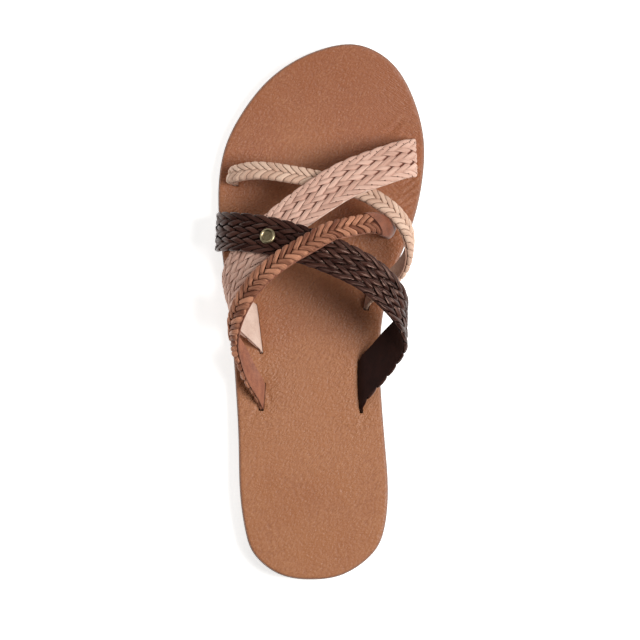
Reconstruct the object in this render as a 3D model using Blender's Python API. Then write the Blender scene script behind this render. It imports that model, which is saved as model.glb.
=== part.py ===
"""A slide sandal for the left foot: outsole, insole, four straps and the stud through two of them.

Metres, +Z up. The sandal stands on the plane z = 0 with its toe towards -Y and its outer side,
the little toe's, towards +X. Run it in Blender 4.5: every sub-part is one closed object.

Places on the sandal are given by `along`, the distance from the back of the heel as a share of LENGTH,
and `across`, the distance from the centre line as a share of BALL_WIDTH, positive on the outer side.
"""

import math
from collections import namedtuple

import bmesh
import bpy
import numpy as np
from mathutils import Matrix, Vector

MM = 0.001

# Driving sizes: the sole and the foot that it is made for
LENGTH = 248 * MM
BALL_WIDTH = 95.4 * MM
INSTEP_HEIGHT = 50 * MM
HEEL_HEIGHT = 9.5 * MM
FOREFOOT_HEIGHT = 5.2 * MM
TOE_SPRING = 5.5 * MM
TOE_THINNING = 0.8 * MM
HEEL_SPRING = 0.8 * MM
ARCH_RISE = 3.4 * MM
INSOLE_THICKNESS = 3.5 * MM

# The whole sandal's box is centred on the origin: straps bulge further on one side than the other
CENTRE_LINE_X = 2.95 * MM
FIT_GAP = 0.3 * MM

# Where the sole touches the ground, and where it thins out from heel to ball, as shares of LENGTH
HEEL_TREAD = (0.035, 0.275)
FOREFOOT_TREAD = (0.590, 0.815)
WEDGE = (0.160, 0.620)
SPRING_FROM = 0.795

# Lugs: bars left standing between grooves that run across the tread
GROOVE_WIDTH = 2.6 * MM
GROOVE_DEPTH = 1.5 * MM
LUG_PITCH = 8.6 * MM

# Layers of the sole and of the insole, from below: how far the outline is drawn in, and the height over
# the sole's underside, or over the layer's own upper face when it is negative
Layer = namedtuple("Layer", "inset height")
OUTSOLE_LAYERS = (
    Layer(1.6 * MM, 0.0),
    Layer(0.5 * MM, 0.5 * MM),
    Layer(0.1 * MM, 1.6 * MM),
    Layer(0.0, -0.4 * MM),
    Layer(0.3 * MM, None),
)
INSOLE_LAYERS = (
    Layer(0.9 * MM, 0.0),
    Layer(0.7 * MM, 0.4 * MM),
    Layer(0.7 * MM, -1.1 * MM),
    Layer(1.0 * MM, -0.35 * MM),
    Layer(1.8 * MM, None),
)

# Straps: widths and wall thicknesses
WIDE_WALL = 2.4 * MM
NATURAL_WALL = 3.0 * MM
TAN_WALL = 3.0 * MM
BLUSH_WIDTH = 18.2 * MM
DARK_WIDTH = 18.4 * MM
NATURAL_WIDTH = 9.4 * MM
TAN_WIDTH = 10.6 * MM
CROSSING_LIFT = 3.0 * MM
END_DEPTH = 5.3 * MM
END_STEPS = (1.0, 0.55, 0.2)
POCKET_DEPTH = 5.7 * MM
SLOT_HEADROOM = 3.0 * MM
SLOT_CLEARANCE = 0.35 * MM
# A strap that meets its slot at a slant is spread along it, up to its width over this
SLANT_LIMIT = 0.76

# The stud: a domed cap, a shank through both straps and a flat burr below
STUD_ALONG = 0.634
STUD_AROUND = 121.0
CAP_RADIUS = 3.7 * MM
CAP_HEIGHT = 1.5 * MM
SHANK_RADIUS = 1.1 * MM
BURR_RADIUS = 2.6 * MM
BURR_HEIGHT = 0.5 * MM
HOLE_LENGTH = 30 * MM

# The cap's dome, as shares of its radius and its height
Dome = namedtuple("Dome", "radius height")
CAP_DOME = (
    Dome(0.0, 1.0),
    Dome(0.55, 0.93),
    Dome(0.88, 0.62),
    Dome(1.0, 0.25),
    Dome(0.96, 0.0),
)

# How finely curves are cut
SOLE_STATIONS = 44
STRAP_STATIONS = 44
SHANK_FACETS = 24
FINE_STEPS = 600
SHARP_FROM = 35
LEVEL_FROM = 0.97

# A strap's section: places across it as shares of its half width, and how square its edges are
FLAT_SHARES = (-1.0, -0.93, -0.5, 0.0, 0.5, 0.93, 1.0)
ROUND_SHARES = (-1.0, -0.8, -0.35, 0.35, 0.8, 1.0)
MOUTH_SHARES = (-1.0, -0.5, 0.0, 0.5, 1.0)
FLAT_EDGE = 6
ROUND_EDGE = 2.4

# Edge of the sole, seen from above: a row per station from heel to toe
Edge = namedtuple("Edge", "along inner outer")
SOLE_EDGES = (
    Edge(0.0103, -0.148, 0.168),
    Edge(0.0476, -0.284, 0.289),
    Edge(0.0850, -0.337, 0.328),
    Edge(0.1597, -0.361, 0.357),
    Edge(0.2530, -0.347, 0.364),
    Edge(0.3464, -0.328, 0.376),
    Edge(0.4211, -0.321, 0.390),
    Edge(0.4958, -0.338, 0.410),
    Edge(0.5705, -0.388, 0.432),
    Edge(0.6358, -0.455, 0.452),
    Edge(0.7012, -0.507, 0.463),
    Edge(0.7573, -0.532, 0.457),
    Edge(0.8133, -0.537, 0.425),
    Edge(0.8693, -0.511, 0.352),
    Edge(0.9253, -0.454, 0.240),
    Edge(0.9627, -0.386, 0.119),
    Edge(0.9870, -0.302, -0.012),
)
HEEL_TIP_ACROSS = 0.005
TOE_TIP_ACROSS = -0.180

# The foot form under the straps, a row per station: where its inner side leaves its slot, how far it
# swells and how high that is, its ridge and height there, then the outer side the same way.
# Heights are shares of INSTEP_HEIGHT above the insole.
FORM_COLUMNS = "along inner_slot inner_side inner_rise ridge height outer_side outer_rise outer_slot"
Form = namedtuple("Form", FORM_COLUMNS)
FOOT_FORM = (
    Form(0.311, -0.232, -0.442, 0.48, -0.075, 1.16, 0.352, 0.36, 0.257),
    Form(0.363, -0.221, -0.442, 0.48, -0.075, 1.10, 0.358, 0.36, 0.245),
    Form(0.466, -0.240, -0.442, 0.48, -0.066, 1.00, 0.374, 0.32, 0.267),
    Form(0.541, -0.272, -0.450, 0.44, -0.056, 0.89, 0.424, 0.28, 0.299),
    Form(0.628, -0.342, -0.473, 0.36, -0.046, 0.75, 0.442, 0.24, 0.375),
    Form(0.699, -0.415, -0.483, 0.24, -0.046, 0.62, 0.434, 0.18, 0.384),
    Form(0.774, -0.478, -0.490, 0.14, -0.051, 0.49, 0.388, 0.12, 0.362),
    Form(0.830, -0.478, -0.483, 0.10, -0.061, 0.40, 0.333, 0.08, 0.312),
)

# The way round the form is an angle: 0 at its inner side, 90 on the ridge, 180 at its outer side, and
# SLOT_TURN past a side at the slot's mouth
SLOT_TURN = 50.0
SLOT_PACE = 0.7
FLARE_EASE = 0.08

# Small steps for reading directions off the form and off a route
ALONG_STEP = 0.002
AROUND_STEP = 0.5
KNOT_STEP = 0.01

# Routes of the straps, a row per fold. `lift` is the height over the form in metres, and `tuck` the
# share of the inner side's swell that an end leaves out
Fold = namedtuple("Fold", "along around lift tuck")
NATURAL_ROUTE = (
    Fold(0.752, 230, 0.0, 0.0),
    Fold(0.754, 198, 0.0, 0.0),
    Fold(0.758, 165, 0.0, 0.0),
    Fold(0.765, 140, -0.8 * MM, 0.0),
    Fold(0.762, 116, -2.7 * MM, 0.0),
    Fold(0.754, 98, -3.4 * MM, 0.0),
    Fold(0.743, 80, -3.4 * MM, 0.0),
    Fold(0.726, 62, -3.1 * MM, 0.0),
    Fold(0.700, 46, -0.6 * MM, 0.0),
    Fold(0.669, 28, 0.2 * MM, 0.0),
    Fold(0.629, 6, 0.0, 0.0),
    Fold(0.590, -13, 0.0, 0.0),
    Fold(0.561, -28, 0.0, 0.0),
    Fold(0.526, -50, 0.0, 0.0),
)
BLUSH_ROUTE = (
    Fold(0.787, -50, 0.0, 0.0),
    Fold(0.787, -10, 0.0, 0.0),
    Fold(0.784, 28, 0.0, 0.0),
    Fold(0.768, 54, 0.0, 0.0),
    Fold(0.745, 76, 0.0, 0.0),
    Fold(0.707, 96, 0.0, 0.0),
    Fold(0.667, 113, 0.0, 0.0),
    Fold(0.621, 132, 0.0, 0.0),
    Fold(0.575, 151, 0.0, 0.0),
    Fold(0.535, 170, 0.0, 0.0),
    Fold(0.507, 187, 0.0, 0.0),
    Fold(0.485, 208, 0.0, 0.0),
    Fold(0.468, 230, 0.0, 0.0),
)
DARK_ROUTE = (
    Fold(0.649, 230, 0.0, 0.0),
    Fold(0.649, 198, 1.0 * MM, 0.0),
    Fold(0.648, 166, 2.6 * MM, 0.0),
    Fold(0.645, 140, 3.0 * MM, 0.0),
    Fold(0.635, 118, 3.0 * MM, 0.0),
    Fold(0.616, 98, 3.0 * MM, 0.0),
    Fold(0.593, 78, 1.6 * MM, 0.0),
    Fold(0.566, 57, 0.2 * MM, 0.0),
    Fold(0.526, 33, 0.0, 0.0),
    Fold(0.484, 5, 0.0, 0.0),
    Fold(0.445, -18, 0.0, 0.0),
    Fold(0.402, -33, 0.0, 0.0),
    Fold(0.359, -50, 0.0, 0.0),
)
TAN_ROUTE = (
    Fold(0.656, -50, 0.0, 0.90),
    Fold(0.656, -15, 0.0, 0.95),
    Fold(0.657, 20, 0.0, 0.90),
    Fold(0.665, 48, 0.0, 0.62),
    Fold(0.657, 71, 1.8 * MM, 0.15),
    Fold(0.642, 86, 5.4 * MM, 0.0),
    Fold(0.621, 97, 6.4 * MM, 0.0),
    Fold(0.598, 109, 6.4 * MM, 0.0),
    Fold(0.572, 122, 4.8 * MM, 0.0),
    Fold(0.541, 136, 3.3 * MM, 0.0),
    Fold(0.502, 152, 3.1 * MM, 0.0),
    Fold(0.461, 172, 2.4 * MM, 0.0),
    Fold(0.419, 191, 1.6 * MM, 0.0),
    Fold(0.377, 205, 0.8 * MM, 0.0),
    Fold(0.341, 230, 0.0, 0.0),
)


def smooth_curve(knots, values):
    """Return a function that reads the natural cubic spline through `values` at `knots`."""
    knots = np.asarray(knots, float)
    values = np.asarray(values, float)
    steps = np.diff(knots)
    count = len(knots)
    system = np.eye(count)
    target = np.zeros(values.shape)
    for i in range(1, count - 1):
        system[i, i - 1:i + 2] = (steps[i - 1], 2 * (steps[i - 1] + steps[i]), steps[i])
        rise_after = (values[i + 1] - values[i]) / steps[i]
        rise_before = (values[i] - values[i - 1]) / steps[i - 1]
        target[i] = 6 * (rise_after - rise_before)
    bends = np.linalg.solve(system, target)

    def read(place):
        place = min(max(place, knots[0]), knots[-1])
        k = min(max(int(np.searchsorted(knots, place)) - 1, 0), count - 2)
        done, left, step = place - knots[k], knots[k + 1] - place, steps[k]
        cubic = (bends[k] * left ** 3 + bends[k + 1] * done ** 3) / (6 * step)
        start = (values[k] / step - bends[k] * step / 6) * left
        return cubic + start + (values[k + 1] / step - bends[k + 1] * step / 6) * done

    return read


def smooth_step(value):
    """Ease from 0 to 1 as `value` goes from 0 to 1."""
    value = min(max(value, 0.0), 1.0)
    return value * value * (3 - 2 * value)


def outline_sides():
    """Run a closed smooth curve through the sole's edge and return its outer and inner halves."""
    outer = [(row.along, row.outer) for row in SOLE_EDGES]
    inner = [(row.along, row.inner) for row in SOLE_EDGES]
    ring = [(0.0, HEEL_TIP_ACROSS)] + outer + [(1.0, TOE_TIP_ACROSS)] + inner[::-1]
    sizes = np.array([LENGTH, BALL_WIDTH])
    around = np.array(ring * 3) * sizes
    chords = np.linalg.norm(np.diff(around, axis=0), axis=1)
    knots = np.concatenate([[0.0], np.cumsum(np.sqrt(chords))])
    curve = smooth_curve(knots, around)
    first = len(ring)
    toe = first + len(outer) + 1

    def half(start, end):
        return np.array([curve(k) for k in np.linspace(knots[start], knots[end], FINE_STEPS)])

    outer_half = half(first, toe)
    inner_half = half(toe, 2 * first)[::-1]
    return outer_half, inner_half


OUTER_HALF, INNER_HALF = outline_sides()


def edge_across(half, along):
    """Distance of one half of the outline from the centre line, at a distance from the heel."""
    return float(np.interp(along, half[:, 0], half[:, 1]))


def ground_height(along):
    """Height of the sole's underside: flat treads, a raised arch and a toe that springs up."""
    share = along / LENGTH
    arch = (share - HEEL_TREAD[1]) / (FOREFOOT_TREAD[0] - HEEL_TREAD[1])
    if 0 < arch < 1:
        return ARCH_RISE * math.sin(math.pi * arch) ** 2
    if share > FOREFOOT_TREAD[1]:
        return TOE_SPRING * ((share - FOREFOOT_TREAD[1]) / (1 - FOREFOOT_TREAD[1])) ** 2
    if share < HEEL_TREAD[0]:
        return HEEL_SPRING * (1 - share / HEEL_TREAD[0]) ** 2
    return 0.0


def outsole_top(along):
    """Height of the outsole's upper face: level at the heel, lower at the ball, up again at the toe."""
    share = along / LENGTH
    drop = smooth_step((share - WEDGE[0]) / (WEDGE[1] - WEDGE[0]))
    height = HEEL_HEIGHT + (FOREFOOT_HEIGHT - HEEL_HEIGHT) * drop
    spring = max(0.0, (share - SPRING_FROM) / (1 - SPRING_FROM))
    return height + (TOE_SPRING - TOE_THINNING) * spring ** 2


def insole_top(along):
    """Height of the face that the foot rests on."""
    return outsole_top(along) + FIT_GAP + INSOLE_THICKNESS


def place(along, across, height):
    """Turn a distance from the heel, one from the centre line and a height into a point."""
    return Vector((across + CENTRE_LINE_X, LENGTH / 2 - along, height))


def sole_loop(inset, height_at):
    """One closed loop of the outline, drawn in by `inset`, at the height that `height_at` gives."""
    turns = [math.pi * i / SOLE_STATIONS for i in range(SOLE_STATIONS + 1)]
    stations = [LENGTH / 2 * (1 - math.cos(turn)) for turn in turns]
    outer = [(s, edge_across(OUTER_HALF, s)) for s in stations]
    inner = [(s, edge_across(INNER_HALF, s)) for s in stations[1:-1]]
    ring = np.array(outer + inner[::-1])
    ahead = np.roll(ring, -1, axis=0) - np.roll(ring, 1, axis=0)
    inward = np.column_stack([ahead[:, 1], -ahead[:, 0]])
    inward /= np.linalg.norm(inward, axis=1)[:, None]
    ring = ring + inset * inward
    return [place(s, a, height_at(s)) for s, a in ring]


def strip_across(mesh, ring, upward):
    """Close a sole loop with a strip of faces between its outer and its inner side."""
    count = len(ring)
    for i in range(count // 2):
        corners = [ring[i], ring[i + 1], ring[-(i + 1)], ring[-i] if i else ring[0]]
        unique = list(dict.fromkeys(corners))
        mesh.faces.new(unique if upward else unique[::-1])


def stacked_body(name, layers, bottom_at, top_at):
    """Make a closed body from sole loops stacked from an underside to an upper face."""
    mesh = bmesh.new()
    rings = []
    for layer in layers:
        base = bottom_at if layer.height is not None and layer.height >= 0 else top_at
        offset = layer.height or 0.0
        loop = sole_loop(layer.inset, lambda s, base=base, offset=offset: base(s) + offset)
        rings.append([mesh.verts.new(point) for point in loop])
    for low, high in zip(rings, rings[1:]):
        for i, corner in enumerate(low):
            j = (i + 1) % len(low)
            mesh.faces.new((corner, high[i], high[j], low[j]))
    strip_across(mesh, rings[0], False)
    strip_across(mesh, rings[-1], True)
    bmesh.ops.recalc_face_normals(mesh, faces=mesh.faces)
    return finished_object(name, mesh, level_faces_flat=True)


def finished_object(name, mesh, level_faces_flat=False):
    """Put a bmesh into the scene as an object, shaded smooth where it is round."""
    mesh.normal_update()
    for face in mesh.faces:
        face.smooth = not (level_faces_flat and abs(face.normal.z) > LEVEL_FROM)
    data = bpy.data.meshes.new(name)
    mesh.to_mesh(data)
    mesh.free()
    data.set_sharp_from_angle(angle=math.radians(SHARP_FROM))
    item = bpy.data.objects.new(name, data)
    bpy.context.scene.collection.objects.link(item)
    return item


def make_cutter(name, mesh):
    """Put a bmesh into the scene as a cutter, which shows only as wire."""
    cutter = finished_object(name, mesh)
    cutter.hide_render = True
    cutter.display_type = "WIRE"
    return cutter


def cut(item, cutter):
    """Cut `cutter` out of `item` with an exact Boolean."""
    boolean = item.modifiers.new(cutter.name, "BOOLEAN")
    boolean.operation = "DIFFERENCE"
    boolean.solver = "EXACT"
    boolean.object = cutter


def give_material(item, name, colour, roughness, metallic=0.0):
    """Give an object its own Principled material."""
    material = bpy.data.materials.new(name)
    material.use_nodes = True
    shader = material.node_tree.nodes["Principled BSDF"]
    shader.inputs["Base Color"].default_value = (*colour, 1.0)
    shader.inputs["Roughness"].default_value = roughness
    shader.inputs["Metallic"].default_value = metallic
    item.data.materials.append(material)


def read_form():
    """Return a function that gives the foot form's sizes, in metres, at a share of the length."""
    rows = []
    for row in FOOT_FORM:
        widths = (row.inner_slot, row.inner_side, row.ridge, row.outer_side, row.outer_slot)
        heights = (row.inner_rise, row.height, row.outer_rise)
        rows.append([w * BALL_WIDTH for w in widths] + [h * INSTEP_HEIGHT for h in heights])
    return smooth_curve([row.along for row in FOOT_FORM], rows)


FORM_AT = read_form()


def flare(share):
    """How far a side has swelled out at a share of its rise: upright at the slot and at the top."""
    if share <= 0:
        return 0.0
    leaning = min(share * share * (1 + FLARE_EASE) / (share + FLARE_EASE), 1.0)
    return math.sin(math.pi / 2 * leaning)


def rise_share(climbed, steepness):
    """Share of a side's rise at a share of its turn: it leaves the slot evenly and meets the arch smoothly."""
    cubed = steepness - 2 + SLOT_PACE
    squared = 1 - SLOT_PACE - cubed
    return climbed * (SLOT_PACE + climbed * (squared + climbed * cubed))


def form_point(along, around, tuck=0.0):
    """A point of the foot form, at a share of the length and an angle round the section."""
    inner_slot, inner_side, ridge, outer_side, outer_slot, inner_rise, height, outer_rise = FORM_AT(along)
    if around <= 90:
        slot, side, rise, turn = inner_slot, inner_side, inner_rise, around
    else:
        slot, side, rise, turn = outer_slot, outer_side, outer_rise, 180 - around
    side += (slot - side) * tuck
    if turn >= 0:
        across = ridge + (side - ridge) * math.cos(math.radians(turn))
        up = rise + (height - rise) * math.sin(math.radians(turn))
    else:
        share = rise_share(1 + turn / SLOT_TURN, math.radians(SLOT_TURN) * (height - rise) / rise)
        across = slot + (side - slot) * flare(share)
        up = rise * share
    return place(along * LENGTH, across, insole_top(along * LENGTH) + up)


def form_frame(along, around, tuck=0.0):
    """A point of the form with its two surface directions and its outward normal."""
    point = form_point(along, around, tuck)
    ahead = form_point(along + ALONG_STEP, around, tuck) - form_point(along - ALONG_STEP, around, tuck)
    over = form_point(along, around + AROUND_STEP, tuck) - form_point(along, around - AROUND_STEP, tuck)
    ahead /= 2 * ALONG_STEP
    over /= 2 * AROUND_STEP
    return point, ahead, over, ahead.cross(over).normalized()


class Route:
    """A strap's way over the foot form, from the slot of its first fold to that of its last."""

    def __init__(self, folds, width, wall):
        self.width = width
        self.wall = wall
        points = [form_point(f.along, f.around, f.tuck) for f in folds]
        steps = [math.sqrt((b - a).length) for a, b in zip(points, points[1:])]
        knots = np.concatenate([[0.0], np.cumsum(steps)])
        self.read = smooth_curve(knots, [tuple(f) for f in folds])
        self.knots = self.even_knots(knots[-1])

    def even_knots(self, end):
        """Knots that part the route into stretches of the same length."""
        dense = np.linspace(0, end, FINE_STEPS)
        line = [self.centre(k) for k in dense]
        gone = np.concatenate([[0.0], np.cumsum([(b - a).length for a, b in zip(line, line[1:])])])
        return np.interp(np.linspace(0, gone[-1], STRAP_STATIONS + 1), gone, dense)

    def centre(self, knot):
        """The middle of the strap's wall at a knot."""
        along, around, lift, tuck = self.read(knot)
        point, _, _, normal = form_frame(along, around, tuck)
        return point + normal * lift

    def section(self, knot, shares):
        """Points across the strap's wall, with its normals, at shares of its half width."""
        along, around, lift, tuck = self.read(knot)
        _, ahead, over, normal = form_frame(along, around, tuck)
        travel = (self.centre(knot + KNOT_STEP) - self.centre(knot - KNOT_STEP)).normalized()
        square = travel.cross(normal).normalized()
        slot_way = ahead.normalized()
        if square.dot(slot_way) < 0:
            slot_way = -slot_way
        turn_in = SLOT_TURN - min(around + SLOT_TURN, 180 + SLOT_TURN - around)
        way = square.lerp(slot_way, smooth_step(turn_in / SLOT_TURN)).normalized()
        reach = self.width / 2 / max(way.cross(travel).length, SLANT_LIMIT)
        middle = {}
        for sign in (-1, 1):
            there = np.array([along, around])
            heading = way * sign
            walked = 0.0
            for share in sorted(abs(share) for share in shares if share * sign >= 0):
                for _ in range(2):
                    _, ahead, over, out = form_frame(there[0], there[1], tuck)
                    heading = (heading - out * heading.dot(out)).normalized()
                    stride = np.array(heading * reach * (share - walked) / 2)
                    there = there + np.linalg.lstsq(np.column_stack([ahead, over]), stride, rcond=None)[0]
                point, _, _, out = form_frame(there[0], there[1], tuck)
                middle[share * sign] = (point + out * lift, out)
                walked = share
        return [middle[share] for share in shares]


def edge_softness(share, hardness):
    """Share of the wall's half thickness left near a strap's edge."""
    return max(1 - abs(share) ** hardness, 0.0) ** (1 / hardness)


def strap_rings(route, shares, hardness):
    """Closed sections of a strap from the bottom of one slot to the bottom of the other."""
    rings = []
    for knot in route.knots:
        rows = route.section(knot, shares)
        halves = [route.wall / 2 * edge_softness(share, hardness) for share in shares]
        upper = [point + out * half for (point, out), half in zip(rows, halves)]
        lower = [point - out * half for (point, out), half in zip(rows, halves)][1:-1]
        rings.append(upper + lower[::-1])
    drops = [END_DEPTH * step for step in END_STEPS]
    first = [[point - Vector((0, 0, drop)) for point in rings[0]] for drop in drops]
    last = [[point - Vector((0, 0, drop)) for point in rings[-1]] for drop in reversed(drops)]
    return first + rings + last


def strap_object(name, route, shares, hardness):
    """Loft a strap through its sections and close both ends."""
    mesh = bmesh.new()
    rings = [[mesh.verts.new(point) for point in ring] for ring in strap_rings(route, shares, hardness)]
    for one, two in zip(rings, rings[1:]):
        for i, corner in enumerate(one):
            j = (i + 1) % len(one)
            mesh.faces.new((corner, one[j], two[j], two[i]))
    mesh.faces.new(rings[0])
    mesh.faces.new(rings[-1])
    bmesh.ops.recalc_face_normals(mesh, faces=mesh.faces)
    return finished_object(name, mesh)


def slot_cutter(name, route, knot):
    """An upright prism round a strap's end: it cuts the insole's slot and the outsole's pocket."""
    rows = route.section(knot, MOUTH_SHARES)
    spare = (rows[-1][0] - rows[0][0]).normalized() * SLOT_CLEARANCE
    rows[0] = (rows[0][0] - spare, rows[0][1])
    rows[-1] = (rows[-1][0] + spare, rows[-1][1])
    reach = route.wall / 2 + SLOT_CLEARANCE
    outer = [point + Vector((out.x, out.y, 0)).normalized() * reach for point, out in rows]
    inner = [point - Vector((out.x, out.y, 0)).normalized() * reach for point, out in rows]
    mesh = bmesh.new()
    corners = [point - Vector((0, 0, POCKET_DEPTH)) for point in outer + inner[::-1]]
    floor = mesh.faces.new([mesh.verts.new(corner) for corner in corners])
    made = bmesh.ops.extrude_face_region(mesh, geom=[floor])
    raised = [item for item in made["geom"] if isinstance(item, bmesh.types.BMVert)]
    bmesh.ops.translate(mesh, vec=(0, 0, POCKET_DEPTH + SLOT_HEADROOM), verts=raised)
    bmesh.ops.recalc_face_normals(mesh, faces=mesh.faces)
    return make_cutter(name, mesh)


def groove_cutter(name, along):
    """A bar across the whole tread, which cuts one groove between two lugs."""
    mesh = bmesh.new()
    bmesh.ops.create_cube(mesh, size=1.0)
    size = Vector((1.4 * BALL_WIDTH, GROOVE_WIDTH, 2 * GROOVE_DEPTH))
    bmesh.ops.scale(mesh, vec=size, verts=mesh.verts)
    bmesh.ops.translate(mesh, vec=place(along, 0, ground_height(along)), verts=mesh.verts)
    return make_cutter(name, mesh)


def make_outsole(slots):
    """The rubber sole, with its grooves and the pockets for the strap ends."""
    sole = stacked_body("outsole", OUTSOLE_LAYERS, ground_height, outsole_top)
    number = 0
    for start, end in (HEEL_TREAD, FOREFOOT_TREAD):
        room = (end - start) * LENGTH
        count = int(room // LUG_PITCH)
        first = start * LENGTH + (room - (count - 1) * LUG_PITCH) / 2
        for i in range(count):
            cut(sole, groove_cutter(f"groove_{number}", first + i * LUG_PITCH))
            number += 1
    for slot in slots:
        cut(sole, slot)
    give_material(sole, "brown_rubber", (0.078, 0.045, 0.030), 0.62)
    return sole


def make_insole(slots):
    """The leather-covered footbed board, with a soft upper edge and a slot for each strap end."""
    insole = stacked_body("insole", INSOLE_LAYERS, lambda s: outsole_top(s) + FIT_GAP, insole_top)
    for slot in slots:
        cut(insole, slot)
    give_material(insole, "tan_leather", (0.392, 0.174, 0.094), 0.55)
    return insole


def stud_frame():
    """Where the stud sits on the form, as a matrix whose Z is the straps' normal."""
    point, _, _, normal = form_frame(STUD_ALONG, STUD_AROUND)
    turn = normal.to_track_quat("Z", "Y").to_matrix().to_4x4()
    return Matrix.Translation(point) @ turn


def turned_body(mesh, profile):
    """Spin a profile of (radius, height) points round the Z axis into a closed body."""
    corners = [mesh.verts.new((radius, 0, height)) for radius, height in profile]
    edges = [mesh.edges.new(pair) for pair in zip(corners, corners[1:])]
    bmesh.ops.spin(mesh, geom=corners + edges, axis=(0, 0, 1), cent=(0, 0, 0), dvec=(0, 0, 0),
                   angle=2 * math.pi, steps=SHANK_FACETS, use_merge=True)
    bmesh.ops.remove_doubles(mesh, verts=mesh.verts, dist=0.01 * MM)
    bmesh.ops.recalc_face_normals(mesh, faces=mesh.faces)


def make_stud(dark_lift):
    """The rivet: its cap rests on the dark strap and its burr is under the blush one."""
    top = dark_lift + WIDE_WALL / 2 + FIT_GAP
    bottom = -WIDE_WALL / 2 - FIT_GAP
    profile = [(CAP_RADIUS * dome.radius, top + CAP_HEIGHT * dome.height) for dome in CAP_DOME]
    profile += [(SHANK_RADIUS, top), (SHANK_RADIUS, bottom), (BURR_RADIUS, bottom)]
    profile += [(BURR_RADIUS, bottom - BURR_HEIGHT), (0.0, bottom - BURR_HEIGHT)]
    mesh = bmesh.new()
    turned_body(mesh, profile)
    bmesh.ops.transform(mesh, matrix=stud_frame(), verts=mesh.verts)
    stud = finished_object("stud", mesh)
    give_material(stud, "antique_brass", (0.42, 0.33, 0.17), 0.34, 1.0)
    return stud


def rivet_hole():
    """A cutter a little wider than the stud's shank."""
    mesh = bmesh.new()
    bmesh.ops.create_cone(mesh, cap_ends=True, segments=SHANK_FACETS, radius1=SHANK_RADIUS + FIT_GAP,
                          radius2=SHANK_RADIUS + FIT_GAP, depth=HOLE_LENGTH)
    bmesh.ops.transform(mesh, matrix=stud_frame(), verts=mesh.verts)
    return make_cutter("rivet_hole", mesh)


def clear_scene():
    """Remove whatever the scene starts with."""
    for item in list(bpy.data.objects):
        bpy.data.objects.remove(item, do_unlink=True)


def main():
    clear_scene()
    natural = Route(NATURAL_ROUTE, NATURAL_WIDTH, NATURAL_WALL)
    blush = Route(BLUSH_ROUTE, BLUSH_WIDTH, WIDE_WALL)
    dark = Route(DARK_ROUTE, DARK_WIDTH, WIDE_WALL)
    tan = Route(TAN_ROUTE, TAN_WIDTH, TAN_WALL)

    slots = []
    for name, route in (("natural", natural), ("blush", blush), ("dark", dark), ("tan", tan)):
        slots.append(slot_cutter(f"{name}_slot_first", route, route.knots[0]))
        slots.append(slot_cutter(f"{name}_slot_last", route, route.knots[-1]))
    make_outsole(slots)
    make_insole(slots)

    hole = rivet_hole()
    natural_strap = strap_object("natural_strap", natural, ROUND_SHARES, ROUND_EDGE)
    give_material(natural_strap, "natural_braid", (0.625, 0.420, 0.300), 0.60)
    blush_strap = strap_object("blush_strap", blush, FLAT_SHARES, FLAT_EDGE)
    cut(blush_strap, hole)
    give_material(blush_strap, "blush_braid", (0.610, 0.385, 0.300), 0.58)
    dark_strap = strap_object("dark_strap", dark, FLAT_SHARES, FLAT_EDGE)
    cut(dark_strap, hole)
    give_material(dark_strap, "dark_braid", (0.042, 0.021, 0.016), 0.38)
    tan_strap = strap_object("tan_strap", tan, ROUND_SHARES, ROUND_EDGE)
    give_material(tan_strap, "tan_braid", (0.290, 0.125, 0.075), 0.50)
    make_stud(CROSSING_LIFT)


main()
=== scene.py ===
"""The looks of a left slide sandal: four braided leather straps over a leather insole on a rubber sole.

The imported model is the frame. Sizes are in metres, +Z up, the toe towards -Y and the little toe's side
towards +X. `along` is the distance from the back of the heel and `across` the distance from the centre
line, positive on the outer side. The tables give them as shares of LENGTH and of BALL_WIDTH.
"""

import logging
import math
from collections.abc import Callable, Iterable
from dataclasses import dataclass, field
from enum import Enum
from functools import cached_property
from typing import Any, NamedTuple

import bmesh
import bpy
import numpy as np
from bmesh.types import BMEdge, BMesh, BMFace, BMVert
from bpy.types import Material, Mesh, Node, NodeSocket, Object
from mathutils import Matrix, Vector


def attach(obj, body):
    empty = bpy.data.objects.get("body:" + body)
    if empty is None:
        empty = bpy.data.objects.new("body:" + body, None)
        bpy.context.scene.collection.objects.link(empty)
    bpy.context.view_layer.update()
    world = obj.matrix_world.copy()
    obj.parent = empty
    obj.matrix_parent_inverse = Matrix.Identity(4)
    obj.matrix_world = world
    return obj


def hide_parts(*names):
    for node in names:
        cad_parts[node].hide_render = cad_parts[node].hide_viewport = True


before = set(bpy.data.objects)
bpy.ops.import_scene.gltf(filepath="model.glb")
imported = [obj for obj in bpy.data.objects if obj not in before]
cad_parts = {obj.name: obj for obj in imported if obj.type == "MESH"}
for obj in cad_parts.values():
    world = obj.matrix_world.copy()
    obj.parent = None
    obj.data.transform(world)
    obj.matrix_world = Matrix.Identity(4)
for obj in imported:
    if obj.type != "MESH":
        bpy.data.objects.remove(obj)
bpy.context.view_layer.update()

Array = np.ndarray
LOG = logging.getLogger("sandal")
BODY = "root"
MM = 0.001
UP = np.array([0.0, 0.0, 1.0])

# Driving sizes of the sole and of the foot that it is made for, as in the part
LENGTH = 248 * MM
BALL_WIDTH = 95.4 * MM
INSTEP_HEIGHT = 50 * MM
CENTRE_LINE_X = 2.95 * MM
FIT_GAP = 0.3 * MM

# The way round the foot form is an angle: 0 at its inner side, 90 on the ridge, 180 at its outer side,
# and SLOT_TURN past a side at the slot's mouth
SLOT_TURN = 50.0
SLOT_PACE = 0.7
FLARE_EASE = 0.08
SLANT_LIMIT = 0.76

# Small steps for reading directions off the form and off a route, how finely curves are read, the angle
# from which an edge is sharp, and a number over that of any mesh's corners
ALONG_STEP = 0.002
AROUND_STEP = 0.5
KNOT_STEP = 0.01
FINE_STEPS = 600
SHARP_FROM = math.radians(38)
MOST_CORNERS = 10 ** 6

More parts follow.
